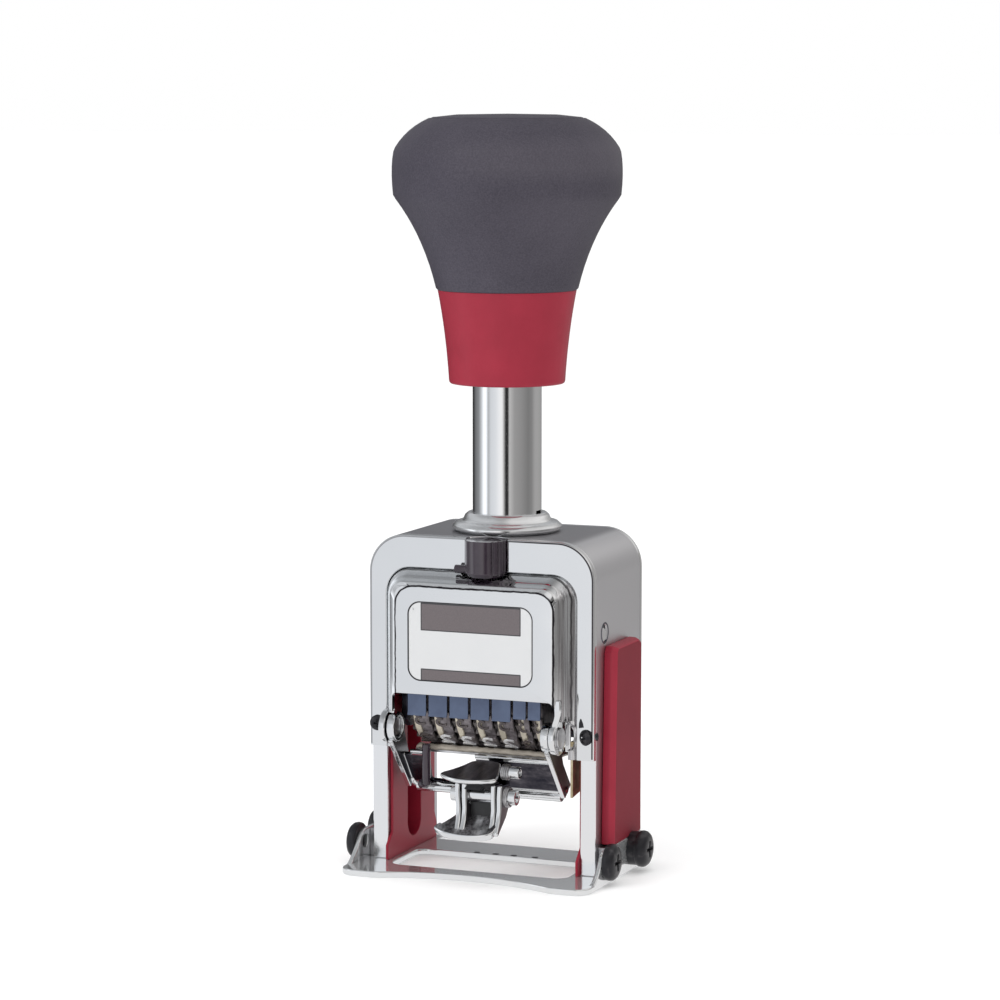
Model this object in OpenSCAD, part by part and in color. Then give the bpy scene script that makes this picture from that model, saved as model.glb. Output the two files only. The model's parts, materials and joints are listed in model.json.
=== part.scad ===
// Desk automatic numbering machine: a plunger carries a block of seven number wheels down through a
// standing frame, while an inker with a felt pad swings forward out of the way.
// X runs to the right, Y runs to the back and Z runs up. The origin is where the plunger's axis meets the desk.

/* [Frame] */
// Distance from the row of wheels out to the side of the frame
frame_side = 10.6; // [10:0.1:12]
// Distance from the plunger axis forward to the front of the legs
front_reach = 15; // [14.8:0.1:16]
// Distance from the plunger axis back to the back of the legs
back_reach = 14.5; // [14.5:0.1:18]
// Height of the frame's top above the desk
frame_h = 79; // [78:0.5:84]
// Thickness of a leg
leg_t = 3.8; // [3.6:0.1:4.4]
// Thickness of the frame's crown
crown_t = 7.5; // [6:0.1:7.5]
// Radius of the frame's two top corners
frame_r = 9; // [6:0.5:11]
// Radius of the arch inside the frame
arch_r = 6; // [4:0.5:8]
// Thickness of the front plate and of the back plate
plate_t = 1.5; // [1:0.1:2]
// Height of the front plate's lower ends
plate_end_z = 28.8; // [26:0.1:30]
// Gap between the legs and the edge of the front plate's opening
plate_lip = 0.5; // [0.3:0.1:0.8]

/* [Front cover] */
// Gap between the raised cover and a leg
cover_gap = 0.6; // [0.7:0.1:1.2]
// How far the raised cover's slope draws in on each side
cover_draw = 3; // [2:0.1:4]
// How far the cover stands out from the front plate
cover_rise = 6.5; // [6:0.1:8]
// Distance from the frame's top down to the cover's top
cover_drop = 8; // [8:0.1:9]
// Height of the cover's lower edge
cover_edge_z = 42.8; // [42:0.1:45]
// Wall of the pressed cover
cover_wall = 1.2; // [1:0.1:1.5]
// Width of the label
label_w = 30.8; // [24:0.2:32]
// Height of the label's lower edge
label_z = 46.1; // [45.5:0.1:48]
// Height of the label
label_h = 18.3; // [12:0.1:19]
// Thickness of the label
label_t = 0.5; // [0.3:0.05:0.6]

/* [Base] */
// Thickness of the base sheet
sheet_t = 1.5; // [1.2:0.1:1.8]
// Thickness of an end flange
flange_t = 1.2; // [0.8:0.1:1.5]
// Height of an end flange
flange_h = 8.3; // [8:0.1:8.4]
// Distance from the plunger axis forward to the toes of the base
toe_reach = 29; // [28:0.5:31]
// How far the base's front edge bows in between its toes
toe_bow = 4.7; // [3:0.1:6]
// Distance from the plunger axis back to the rear edge of the base between the legs
heel_reach = 10; // [9.5:0.1:12]
// Distance from a leg in to the printing window
window_edge = 2.2; // [1.8:0.1:3]
// Front edge of the printing window, forward of the plunger axis
window_front = 19.5; // [18:0.1:21]
// Rear edge of the printing window, forward of the plunger axis
window_rear = 1.5; // [0.5:0.1:2]
// Radius of a foot screw's head
foot_screw_r = 4.3; // [3.5:0.1:4.6]
// How far the front foot screws stand out
front_screw_len = 2.7; // [2:0.1:5]
// How far the rear foot screws stand out
rear_screw_len = 4.6; // [2:0.1:6]

/* [Red guides] */
// Thickness of the guide rail's face inside the leg
liner_t = 0.7; // [0.5:0.1:1]
// Thickness of a side cover
side_cover_t = 3; // [2:0.1:3.5]
// Height of a side cover's top
side_cover_z = 54.5; // [54:0.1:56]
// Width of the guide slot
slot_w = 7.8; // [7.6:0.1:8.4]
// Depth of the guide slot
slot_depth = 3.5; // [3:0.1:3.8]

/* [Plunger] */
// Radius of the plunger tube
tube_r = 8.08; // [7.5:0.02:8.2]
// Wall of the plunger tube
tube_wall = 1.5; // [1.2:0.1:1.8]
// How far the plunger goes down
stroke = 28.2; // [27.4:0.1:28.3]
// Radial running clearance of the plunger and of every shaft
running_gap = 0.05; // [0.02:0.01:0.08]
// Radius of the collar's flange
collar_r = 12.85; // [12:0.05:13]
// Height of the collar above the frame
collar_h = 4.4; // [4:0.1:5]
// Height of the handle's lower rim
handle_z = 113.6; // [112:0.2:118]
// Height of the red part of the handle
handle_base_h = 21.8; // [18:0.2:24]
// Height of the rubber grip
grip_h = 40; // [38:0.2:44]
// Greatest radius of the grip
grip_r = 26.9; // [25:0.1:28]
// Radius of the handle's lower rim
handle_rim_r = 13.6; // [12:0.1:14]

/* [Number wheels] */
// Number of wide wheels
wide_wheels = 5; // [5:1:5]
// Pitch of a wide wheel
wide_pitch = 5.28; // [5.1:0.01:5.28]
// How far the row of wheels sits to the left of the middle
row_shift = 0.6; // [0:0.1:0.7]
// Width of the sixth wheel
sixth_w = 4; // [3.8:0.1:4]
// Width of the seventh wheel
seventh_w = 3.2; // [3.1:0.1:3.3]
// Radius to the face of the type
type_r = 10.4; // [10.2:0.1:10.5]
// Radius of a wheel's drum
drum_r = 9.8; // [9.4:0.1:9.9]
// Radius over the ratchet teeth
ratchet_r = 9.6; // [9:0.1:9.7]
// Depth of a ratchet tooth
tooth_depth = 1.9; // [1.2:0.1:2.4]
// Radius of the wheel shaft
shaft_r = 2; // [1.5:0.1:2.5]
// Distance of the wheel shaft forward of the plunger axis
shaft_forward = 8; // [7.8:0.1:8.2]
// Height of the wheel shaft at rest
shaft_z = 39.5; // [39.4:0.1:39.8]

/* [Inker] */
// Distance of the inker's pivot forward of the plunger axis
pivot_forward = 19; // [18.9:0.1:19.3]
// Height of the inker's pivot
pivot_z = 34.1; // [34:0.1:34.3]
// Half width of the bail over its ears
bail_half_w = 20.1; // [20:0.05:20.2]
// How far the bail sits to the left of the middle
bail_shift = 1.2; // [1.1:0.05:1.3]
// Radius of the cover's ears round the pivot
ear_r = 4; // [3.4:0.1:4.2]
// Radius of the pivot rivets
rivet_r = 1.5; // [1.2:0.1:1.8]
// Drop from the pivot to the pad's face
pad_drop = 8.65; // [8.6:0.05:9]
// Thickness of the felt pad
pad_t = 1.3; // [1:0.1:1.4]
// Thickness of the pad's tray
tray_t = 0.4; // [0.3:0.1:0.5]
// Thickness of the bail's sheet
bail_t = 1.2; // [1:0.1:1.4]
// Radius of the lever pin
lever_pin_r = 1.8; // [1.4:0.1:2]
// Half width of the two finger tabs at their front
finger_half_w = 7.7; // [6.5:0.1:8.2]
// Thickness of the two finger tabs
finger_t = 1.1; // [0.8:0.1:1.3]

/* [Hidden] */
$fn = 96;

// How far a cutting tool runs past the surface that it cuts
cut = 1;
// Gap between pieces that pass each other or are fitted loosely
gap = 0.3;

chrome = [0.85, 0.86, 0.88];
steel = [0.6, 0.6, 0.62];
blued = [0.2, 0.24, 0.32];
black = [0.1, 0.1, 0.11];
red = [0.65, 0.14, 0.2];
rubber = [0.26, 0.26, 0.3];
brass = [0.7, 0.6, 0.4];
felt = [0.55, 0.5, 0.42];

row_w = wide_wheels * wide_pitch + sixth_w + seventh_w;
wheels_left = row_w / 2 + row_shift;
frame_w = 2 * (wheels_left + frame_side);
inner_x = frame_w / 2 - leg_t;
flange_x = frame_w / 2 + side_cover_t;
window_half_w = inner_x - window_edge;
crown_z = frame_h - crown_t;
cover_half_w = inner_x - cover_gap;
cover_top_z = frame_h - cover_drop;
front_y = -front_reach - plate_t;
back_y = back_reach + plate_t;
liner_x = inner_x - liner_t;
handle_seam_z = handle_z + handle_base_h;
grip_top_z = handle_seam_z + grip_h;

// The sliding block
block_out_x = liner_x - 2.2;
block_side_t = 1.4;
block_in_x = block_out_x - block_side_t;
block_front_y = -front_reach + 1.8;
block_back_y = back_reach - 2.5;
block_low_z = shaft_z - 6.5;
block_top_z = shaft_z + 13.7;
block_plate_t = 2;
shelf_y = -shaft_forward - drum_r - 0.7;
bar_h = 2;
bar_w = 2.6;
bar_z = block_top_z + gap;
tube_in_r = tube_r - tube_wall;
plug_z = handle_z + 14;
plug_h = 4;
tube_top_z = handle_seam_z + 14;
stud_y = -0.9;
stud_z = block_low_z + 3.7;
stud_r = slot_w / 2 - 0.2;
slot_low_z = stud_z - stroke - 0.1;

// Wheels
wheel_xs = concat(
    [for (i = [0:wide_wheels - 1]) -wheels_left + i * wide_pitch],
    [-wheels_left + wide_wheels * wide_pitch, -wheels_left + wide_wheels * wide_pitch + sixth_w]
);
wheel_ws = concat([for (i = [0:wide_wheels - 1]) wide_pitch], [sixth_w, seventh_w]);
wheel_gap = 0.3;
ratchet_t = 1.2;
ring_t = 1.1;
ring_r = drum_r + 0.4;
digits = 10;

// Front cover
cover_front_y = front_y - cover_rise;
mouth_half_w = block_in_x - 0.2;
bail_ear_t = 1.9;
bail_ear_r = ear_r - 0.6;
bail_ear_x = bail_half_w - bail_ear_t;
ear_cup_r = bail_ear_r - 0.8;
ear_cup_t = 0.8;
ear_t = 1.5;
ear_left = -bail_half_w - bail_shift - gap - ear_t;
ear_right = bail_half_w - bail_shift + gap;
rivet_head_r = rivet_r + 1;
rivet_head_t = 0.4;
knob_x = 1.6;
knob_y = -front_reach - 2;
knob_r = 4.9;
knob_low_z = cover_top_z - 0.7;
knob_seat_z = knob_low_z - gap;
knob_top_z = frame_h - 0.2;
spindle_r = 1.6;

// Inker
pivot_y = -pivot_forward;
pad_face_z = pivot_z - pad_drop;
pad_half_w = wheels_left - tray_t;
pad_front_y = pivot_y + 3.8;
pad_back_y = pivot_y + 16;
bar_pivot = [pivot_y + 10.8, pivot_z - 15.7];
bail_bar_r = 1.4;
lever_y = pivot_y - 4;
lever_z = pivot_z - 13.8;
finger_x = 1.75;

// ---------- shapes used more than once ----------

// Doorway outline with round top corners, in X and Z
module arch(w, top, r, bottom) {
    translate([-w / 2, bottom]) square([w, top - r - bottom]);
    translate([-w / 2 + r, bottom]) square([w - 2 * r, top - bottom]);
    for (side = [-1, 1]) translate([side * (w / 2 - r), top - r]) circle(r = r);
}

// Rectangle with round corners about the origin
module rounded(w, d, r) {
    square([w - 2 * r, d], center = true);
    square([w, d - 2 * r], center = true);
    for (sx = [-1, 1], sy = [-1, 1]) translate([sx * (w / 2 - r), sy * (d / 2 - r)]) circle(r = r);
}

// Upright slot outline between the centres of its round ends
module upright_slot(y, z0, z1, w) {
    translate([y - w / 2, z0]) square([w, z1 - z0]);
    for (z = [z0, z1]) translate([y, z]) circle(d = w);
}

// Outline in X and Z, made solid between two Y values
module facing(y0, y1) translate([0, y1, 0]) rotate([90, 0, 0]) linear_extrude(y1 - y0) children();

// Outline in Y and Z, made solid between two X values
module sideways(x0, x1) translate([x0, 0, 0]) rotate([90, 0, 90]) linear_extrude(x1 - x0) children();

// Round bar along X at a given Y and Z
module rod(x0, x1, y, z, r) translate([x0, y, z]) rotate([0, 90, 0]) cylinder(r = r, h = x1 - x0);

module both_sides() {
    children();
    mirror([1, 0, 0]) children();
}

// Points of a curve that leaves a towards b and arrives at c from b
function bend(a, b, c, steps) = [
    for (i = [0:steps]) let (t = i / steps) a * (1 - t) * (1 - t) + b * 2 * t * (1 - t) + c * t * t
];

// Wire wound about the Z axis from z = 0 to z = h
module coil(r, wire_r, h, turns, per_turn, sides) {
    steps = turns * per_turn;
    rings = [
        for (i = [0:steps], j = [0:sides - 1])
            let (a = 360 * i / per_turn, b = 360 * j / sides, rr = r + wire_r * cos(b))
                [rr * cos(a), rr * sin(a), wire_r + (h - 2 * wire_r) * i / steps + wire_r * sin(b)]
    ];
    skin = [
        for (i = [0:steps - 1], j = [0:sides - 1])
            let (k = (j + 1) % sides)
                [i * sides + j, i * sides + k, (i + 1) * sides + k, (i + 1) * sides + j]
    ];
    ends = [[for (j = [sides - 1:-1:0]) j], [for (j = [0:sides - 1]) steps * sides + j]];
    polyhedron(rings, concat(skin, ends));
}

// ---------- frame ----------

// Opening in a leg that the guide rail fills
rail_window = [[-9.5, 3], [7, 3], [7, side_cover_z - 1.5], [-9.5, side_cover_z - 1.5]];
foot_pad = [[-13, sheet_t], [8, sheet_t], [8, flange_h - gap], [-13, flange_h - gap]];
rod_slot_w = 2;
rod_y = -tube_r - 1.3;
rod_z = [56, 58.5];
foot_screws_at = [[-toe_reach + 13.7, front_screw_len], [1.1, rear_screw_len]];
foot_screw_z = 5.4;
foot_shank_r = 1.6;
rear_shank_x = liner_x + slot_depth + gap;

module frame_body() color(chrome) difference() {
    union() {
        facing(-front_reach, back_reach) difference() {
            arch(frame_w, frame_h, frame_r, sheet_t);
            arch(2 * inner_x, crown_z, arch_r, 0);
        }
        both_sides() sideways(frame_w / 2 - cut, flange_x - flange_t) polygon(foot_pad);
    }
    translate([0, 0, crown_z - cut]) cylinder(r = spigot_r, h = crown_t + 2 * cut);
    translate([knob_x, knob_y, crown_z - cut]) cylinder(r = knob_r + gap, h = crown_t + 2 * cut);
    both_sides() {
        sideways(inner_x - cut, frame_w / 2) polygon(rail_window);
        sideways(frame_w / 2 - cut, frame_w / 2 + cut) polygon([for (p = rail_window) [p[0], max(p[1], flange_h)]]);
        sideways(inner_x - cut, frame_w / 2 + cut) upright_slot(rod_y, rod_z[0], rod_z[1], rod_slot_w);
        translate([inner_x - cut, -bar_w / 2, bar_z]) cube([cut + bar_seat, bar_w, bar_h]);
        translate([screw_x, -front_reach - cut, screw_z])
            rotate([-90, 0, 0]) cylinder(r = screw_shank_r, h = screw_depth + cut);
        rod(rear_shank_x, flange_x, foot_screws_at[1][0], foot_screw_z, foot_shank_r);
    }
}

module front_plate() color(chrome) difference() {
    facing(front_y, -front_reach) difference() {
        arch(frame_w, frame_h, frame_r, plate_end_z);
        arch(2 * (inner_x - plate_lip), crown_z - 0.2, arch_r, 0);
    }
    translate([knob_x, knob_y, knob_seat_z]) cylinder(r = knob_r + gap, h = crown_t + 2 * cut);
    both_sides() translate([screw_x, front_y - cut, screw_z])
        rotate([-90, 0, 0]) cylinder(r = screw_shank_r, h = plate_t + 2 * cut);
}

screw_x = frame_w / 2 - 2;
screw_z = plate_end_z + 5.4;
screw_shank_r = 1.1;
screw_depth = 5;

module cover_screws() color(black) both_sides() translate([screw_x, front_y, screw_z]) rotate([-90, 0, 0]) {
    cylinder(r = screw_shank_r, h = plate_t + screw_depth);
    translate([0, 0, -0.5]) cylinder(r = 1.9, h = 0.5);
    translate([0, 0, -1]) cylinder(r1 = 1.3, r2 = 1.9, h = 0.5);
}

// Outer form of the raised cover, drawn in by the given amount for the space inside it
module cover_form(inset, y0, edge_z) {
    mid_y = cover_front_y + 0.9 + inset;
    hull() {
        facing(front_y - 0.1, y0) arch(2 * (cover_half_w - inset), cover_top_z - inset, arch_r - inset, plate_end_z);
        facing(mid_y, mid_y + 0.1)
            arch(2 * (cover_half_w - cover_draw + 0.6 - inset), cover_top_z - 2.1 - inset, arch_r - 2.1 - inset, edge_z - 1);
        facing(cover_front_y + inset, cover_front_y + inset + 0.1)
            arch(2 * (cover_half_w - cover_draw - 0.3 - inset), cover_top_z - 3 - inset, arch_r - 3 - inset, edge_z);
    }
}

module front_cover() color(chrome) difference() {
    union() {
        difference() {
            cover_form(0, -front_reach, cover_edge_z);
            cover_form(cover_wall, -front_reach + cut, plate_end_z);
            facing(cover_front_y - cut, cover_front_y + 5) arch(2 * mouth_half_w, cover_edge_z, 1, 0);
            rod(-bail_half_w - bail_shift - gap, 0, pivot_y, pivot_z, bail_ear_r + gap);
        }
        facing(-front_reach, -front_reach + 1) difference() {
            arch(2 * inner_x, crown_z - 0.1, arch_r, cover_edge_z + 2);
            arch(2 * (cover_half_w - cover_wall), cover_top_z - cover_wall, arch_r, 0);
        }
        for (x = [ear_left, ear_right]) rod(x, x + ear_t, pivot_y, pivot_z, ear_r);
        translate([knob_x, knob_y, cover_top_z - 5]) cylinder(r = spindle_r + 1.8, h = 5 - cover_wall);
    }
    for (x = [ear_left, ear_right]) rod(x - cut, x + ear_t + cut, pivot_y, pivot_z, rivet_r);
    rod(-frame_w / 2, ear_left, pivot_y, pivot_z, ear_r + gap);
    rod(ear_right + ear_t, frame_w / 2, pivot_y, pivot_z, ear_r + gap);
    translate([knob_x, knob_y, knob_seat_z]) cylinder(r = knob_r + 1, h = cut + 5);
    translate([knob_x, knob_y, cover_top_z - 6]) cylinder(r = spindle_r + running_gap, h = 8);
    translate([0, 0, label_z + label_h / 2]) facing(cover_front_y - cut, cover_front_y + label_t + 0.1)
        rounded(label_w, label_h, 3);
}

module label_plate() color("white") translate([0, 0, label_z + label_h / 2])
    facing(cover_front_y + 0.1, cover_front_y + label_t + 0.1) rounded(label_w, label_h, 3);

// One rivet, from its head in the bail's cup out through the cover's ear to its outer head
module ear_rivet(cup_x, ear_x) {
    out = ear_x > cup_x ? 1 : -1;
    sideways_rod(cup_x - out * rivet_head_t, ear_x + out * rivet_head_t, rivet_r);
    sideways_rod(cup_x - out * rivet_head_t, cup_x, ear_cup_r - 0.5);
    sideways_rod(ear_x, ear_x + out * rivet_head_t, rivet_head_r);
}

// Round bar on the inker's pivot between two X values in either order
module sideways_rod(x0, x1, r) rod(min(x0, x1), max(x0, x1), pivot_y, pivot_z, r);

module ear_rivets() color(steel) {
    cup_x = bail_half_w - ear_cup_t;
    ear_rivet(-cup_x - bail_shift, ear_left);
    ear_rivet(cup_x - bail_shift, ear_right + ear_t);
}

module cover_rod() color(steel) rod(-frame_w / 2 + 0.6, frame_w / 2 - 0.6, rod_y, rod_z[0] + 0.3, rod_slot_w / 2);

bar_seat = 1.5;

module spring_bar() color(steel) translate([-inner_x - bar_seat, -bar_w / 2, bar_z])
    cube([2 * (inner_x + bar_seat), bar_w, bar_h]);

module back_plate() color(chrome) facing(back_reach, back_y) difference() {
    arch(frame_w, frame_h, frame_r, plate_end_z);
    arch(2 * (inner_x - plate_lip), crown_z - 0.2, arch_r, 0);
}

panel_z = block_top_z + 1.3;

module back_panel() color(chrome) facing(back_reach - 1, back_reach)
    arch(2 * (inner_x - 0.05), crown_z - 0.1, arch_r, panel_z);

module base_plate() color(chrome) {
    bow_r = (window_half_w * window_half_w + toe_bow * toe_bow) / (2 * toe_bow);
    toe_r = 4;
    flange_rise = toe_reach - 10.5;
    linear_extrude(sheet_t) difference() {
        translate([0, (back_reach - toe_reach) / 2]) rounded(2 * flange_x, back_reach + toe_reach, toe_r);
        translate([-window_half_w, heel_reach]) square([2 * window_half_w, back_reach]);
        translate([0, -toe_reach + toe_bow - bow_r]) circle(r = bow_r, $fn = 200);
        translate([0, -(window_front + window_rear) / 2])
            rounded(2 * window_half_w, window_front - window_rear, 3);
    }
    difference() {
        both_sides() sideways(flange_x - flange_t, flange_x)
            polygon(concat(
                bend([-toe_reach + toe_r, sheet_t / 2], [-flange_rise - 2, 3], [-flange_rise, 6], 6),
                bend([-flange_rise, 6], [-flange_rise + 1.5, flange_h], [-flange_rise + 5, flange_h], 4),
                [[heel_reach - 2, flange_h], [heel_reach - toe_r, sheet_t / 2]]
            ));
        both_sides() for (s = foot_screws_at)
            rod(flange_x - flange_t - cut, flange_x + cut, s[0], foot_screw_z, foot_shank_r);
    }
}

module foot_screws() color(black) both_sides() for (s = foot_screws_at) {
    rod(s == foot_screws_at[1] ? rear_shank_x : flange_x - flange_t, flange_x, s[0], foot_screw_z, foot_shank_r);
    translate([flange_x, s[0], foot_screw_z]) rotate([0, 90, 0]) rotate_extrude()
        polygon(concat(
            [[0, 0], [foot_screw_r, 0]],
            bend([foot_screw_r, s[1] - 1.6], [foot_screw_r, s[1] - 0.3], [foot_screw_r - 1.8, s[1]], 4),
            [[0, s[1]]]
        ));
}

// ---------- red guides ----------

module side_cover() color(red) hull() {
    sideways(frame_w / 2, frame_w / 2 + side_cover_t - 1.2) side_cover_outline(0);
    sideways(frame_w / 2, frame_w / 2 + side_cover_t) side_cover_outline(1.1);
}

module side_cover_outline(inset) polygon([
    [-11.4 + inset, flange_h + 0.1],
    [7.4, flange_h + 0.1],
    [7.4, side_cover_z - 1.4],
    [6.4 - inset / 2, side_cover_z - inset / 2],
    [-8.9 + inset, side_cover_z - inset / 2],
    [-9.9 + inset, side_cover_z - 1.4]
]);

module guide_rail() color(red) difference() {
    union() {
        sideways(liner_x, inner_x) polygon([
            [-16.5, sheet_t], [12.7, sheet_t], [12.7, 5], [11.5, 7.8], [11.5, bar_z - 4],
            [-13.6, bar_z - 4], [-13.6, 7.8], [-16.5, 5]
        ]);
        sideways(inner_x, frame_w / 2) polygon(rail_window);
    }
    sideways(liner_x - cut, liner_x + slot_depth) upright_slot(stud_y, slot_low_z, stud_z + 0.5, slot_w);
    rod(rear_shank_x, flange_x, foot_screws_at[1][0], foot_screw_z, foot_shank_r);
}

module side_cover_right() side_cover();
module side_cover_left() mirror([1, 0, 0]) side_cover();
module guide_rail_right() guide_rail();
module guide_rail_left() mirror([1, 0, 0]) guide_rail();

// Upright brass rail beside the right guide
module cam_rail() color(brass) sideways(liner_x - 1.5, liner_x) polygon([
    [4, 20], [10.5, 17.5], [10.5, bar_z - 5], [4, bar_z - 5]
]);

spigot_r = 9.9;

module collar_nut() color(chrome) rotate_extrude() polygon([
    [tube_r + running_gap, crown_z],
    [spigot_r, crown_z],
    [spigot_r, frame_h],
    [collar_r - 0.8, frame_h],
    [collar_r, frame_h + 0.7],
    [collar_r, frame_h + 1.4],
    [collar_r - 0.9, frame_h + 2.2],
    [collar_r - 2.4, frame_h + 2.5],
    [collar_r - 3, frame_h + collar_h - 0.6],
    [collar_r - 3.7, frame_h + collar_h],
    [tube_r + running_gap, frame_h + collar_h]
]);

module lock_knob() color(black) translate([knob_x, knob_y, 0]) {
    difference() {
        union() {
            translate([0, 0, knob_low_z + 1]) cylinder(r = knob_r, h = knob_top_z - knob_low_z - 1);
            translate([0, 0, knob_low_z]) cylinder(r1 = knob_r - 0.9, r2 = knob_r, h = 1);
        }
        for (a = [-50:20:10]) rotate([0, 0, a]) translate([knob_r, 0, knob_low_z - cut])
            cylinder(r = 0.35, h = frame_h, $fn = 16);
    }
    translate([0, 0, cover_top_z - 5.4]) cylinder(r = spindle_r, h = 6);
    translate([-knob_r - 2.1, -1.5, knob_low_z + 1.6]) rotate([0, 90, 0]) cylinder(r = 1, h = 3.4);
}

// ---------- plunger ----------

module plunger_tube() color(chrome) difference() {
    translate([0, 0, block_top_z]) cylinder(r = tube_r, h = tube_top_z - block_top_z);
    translate([0, 0, block_top_z - cut]) cylinder(r = tube_in_r, h = tube_top_z);
    sideways(-tube_r - cut, tube_r + cut)
        translate([-bar_w / 2 - 0.2, block_top_z - cut]) square([bar_w + 0.4, cut + bar_h + stroke + 2 * gap]);
}

module tube_plug() color(steel) translate([0, 0, plug_z]) cylinder(r = tube_in_r, h = plug_h);

module handle_base() color(red) rotate_extrude() polygon(concat(
    [[tube_r, handle_z + 1.5], [handle_rim_r - 2.5, handle_z + 1.5], [handle_rim_r - 2, handle_z]],
    bend([handle_rim_r - 0.7, handle_z], [handle_rim_r - 0.05, handle_z], [handle_rim_r, handle_z + 0.9], 4),
    bend([handle_rim_r, handle_z + 1], [handle_rim_r + 0.7, handle_z + 12], [seam_r, handle_seam_z], 8),
    [[tube_r, handle_seam_z]]
));

seam_r = handle_rim_r + 2.6;
core_r = seam_r - 3;
core_top_z = grip_top_z - 5;

module grip_core() color(black) difference() {
    rotate_extrude() polygon([
        [0, handle_seam_z], [core_r, handle_seam_z], [core_r, handle_seam_z + 14],
        [core_r + 5, core_top_z - 6], [core_r + 5, core_top_z], [0, core_top_z]
    ]);
    translate([0, 0, handle_seam_z - cut]) cylinder(r = tube_r, h = tube_top_z - handle_seam_z + cut);
}

cap_r = 17.8;
cap_t = 1.6;

module handle_grip() color(rubber) difference() {
    rotate_extrude() polygon(concat(
        [[0, handle_seam_z], [seam_r, handle_seam_z]],
        bend([seam_r + 0.4, handle_seam_z + 0.4], [grip_r - 7.4, handle_seam_z + 12.5], [grip_r - 1, grip_top_z - 19], 9),
        bend([grip_r - 0.4, grip_top_z - 18], [grip_r + 0.25, grip_top_z - 12], [grip_r - 0.5, grip_top_z - 8], 5),
        bend([grip_r - 0.9, grip_top_z - 7], [grip_r - 3.6, grip_top_z - 2.6], [cap_r + 0.4, grip_top_z - 0.3], 6),
        [[0, grip_top_z - 0.3]]
    ));
    rotate_extrude() polygon([
        [0, handle_seam_z - cut], [core_r, handle_seam_z - cut], [core_r, handle_seam_z + 14],
        [core_r + 5, core_top_z - 6], [core_r + 5, core_top_z], [0, core_top_z]
    ]);
    translate([0, 0, grip_top_z - cap_t]) cylinder(r = cap_r, h = cap_t + cut);
}

module handle_cap() color(rubber) rotate_extrude() polygon(concat(
    [[0, grip_top_z - cap_t], [cap_r, grip_top_z - cap_t]],
    bend([cap_r, grip_top_z - 0.4], [cap_r - 0.2, grip_top_z], [cap_r - 1.4, grip_top_z], 3),
    [[cap_r - 6, grip_top_z + 0.5], [0, grip_top_z + 0.7]]
));

module main_spring() color(steel) translate([0, 0, bar_z + bar_h])
    coil(tube_in_r - 1.5, 0.8, plug_z - bar_z - bar_h, 13, 14, 6);

// ---------- sliding block ----------

module block_frame() color(steel) difference() {
    union() {
        both_sides() sideways(block_in_x, block_out_x) polygon([
            [block_front_y, block_low_z + 2], [block_front_y + 2, block_low_z], [block_back_y, block_low_z],
            [block_back_y, block_top_z], [block_front_y, block_top_z]
        ]);
        translate([-block_in_x, -pivot_forward + ear_r + gap, block_top_z - block_plate_t])
            cube([2 * block_in_x, block_back_y + pivot_forward - ear_r - gap, block_plate_t]);
        translate([-wheels_left, shelf_y, block_top_z - block_plate_t])
            cube([wheels_left + bail_ear_x - bail_shift - gap, block_back_y - shelf_y, block_plate_t]);
    }
    rod(-frame_w, frame_w, -shaft_forward, shaft_z, shaft_r);
    rod(-frame_w, frame_w, pawl_y, shaft_z, pawl_shaft_r);
    rod(-frame_w, frame_w, stud_y, stud_z, stud_shank_r);
}

dial_z = shaft_z + 4;
dial_spindle_r = 1.2;

module block_back() color(steel) difference() {
    translate([-block_out_x, block_back_y, block_low_z]) cube([2 * block_out_x, 1.2, block_top_z - block_low_z]);
    translate([0, block_back_y - cut, dial_z]) rotate([-90, 0, 0])
        cylinder(r = dial_spindle_r + running_gap, h = 1.2 + 2 * cut);
}

module wheel_shaft() color(steel) rod(-block_out_x - 0.6, block_out_x + 0.6, -shaft_forward, shaft_z, shaft_r);

leaf_t = 0.4;
leaf_bar_y = shelf_y - 1;

module leaf_bar() color(black) translate([-wheels_left, leaf_bar_y, block_top_z - 7])
    cube([wheels_left + wheel_xs[6] + seventh_w, 1, 7]);

leaf_xs = [for (i = [0:6]) wheel_xs[i] + (i < 6 ? 0.5 : 0.15)];
leaf_ws = [for (i = [0:6]) wheel_ws[i] - [0.68, 0.68, 0.68, 0.68, 0.68, 0.9, 0.15][i]];
leaf_front_y = leaf_bar_y - leaf_t;

// Blued springs that hold the wheels at their digits, one in front of each wheel, each with a lip at its end
module leaf_springs() color(blued) for (i = [0:6]) {
    low = shaft_z - (i < wide_wheels ? 2.3 : 1.5);
    sideways(leaf_xs[i], leaf_xs[i] + leaf_ws[i]) polygon([
        [leaf_bar_y, block_top_z - 0.6], [leaf_front_y, block_top_z - 0.6], [leaf_front_y, low + 0.8],
        [leaf_front_y - 0.2, low + 0.3], [leaf_front_y - 0.2, low], [leaf_front_y + 0.1, low],
        [leaf_bar_y, low + 0.6]
    ]);
}

stud_shank_r = 1.5;

module guide_studs() color(brass) both_sides() {
    rod(block_out_x + gap, liner_x + slot_depth - 0.4, stud_y, stud_z, stud_r);
    rod(block_in_x, block_out_x + 1, stud_y, stud_z, stud_shank_r);
}

// ---------- number wheels ----------

function ratchet_points() = [
    for (i = [0:digits - 1], s = [0, 1]) let (a = 360 * i / digits + s * 6, r = ratchet_r - (s == 0 ? tooth_depth : 0))
        [r * cos(a), r * sin(a)]
];

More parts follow.
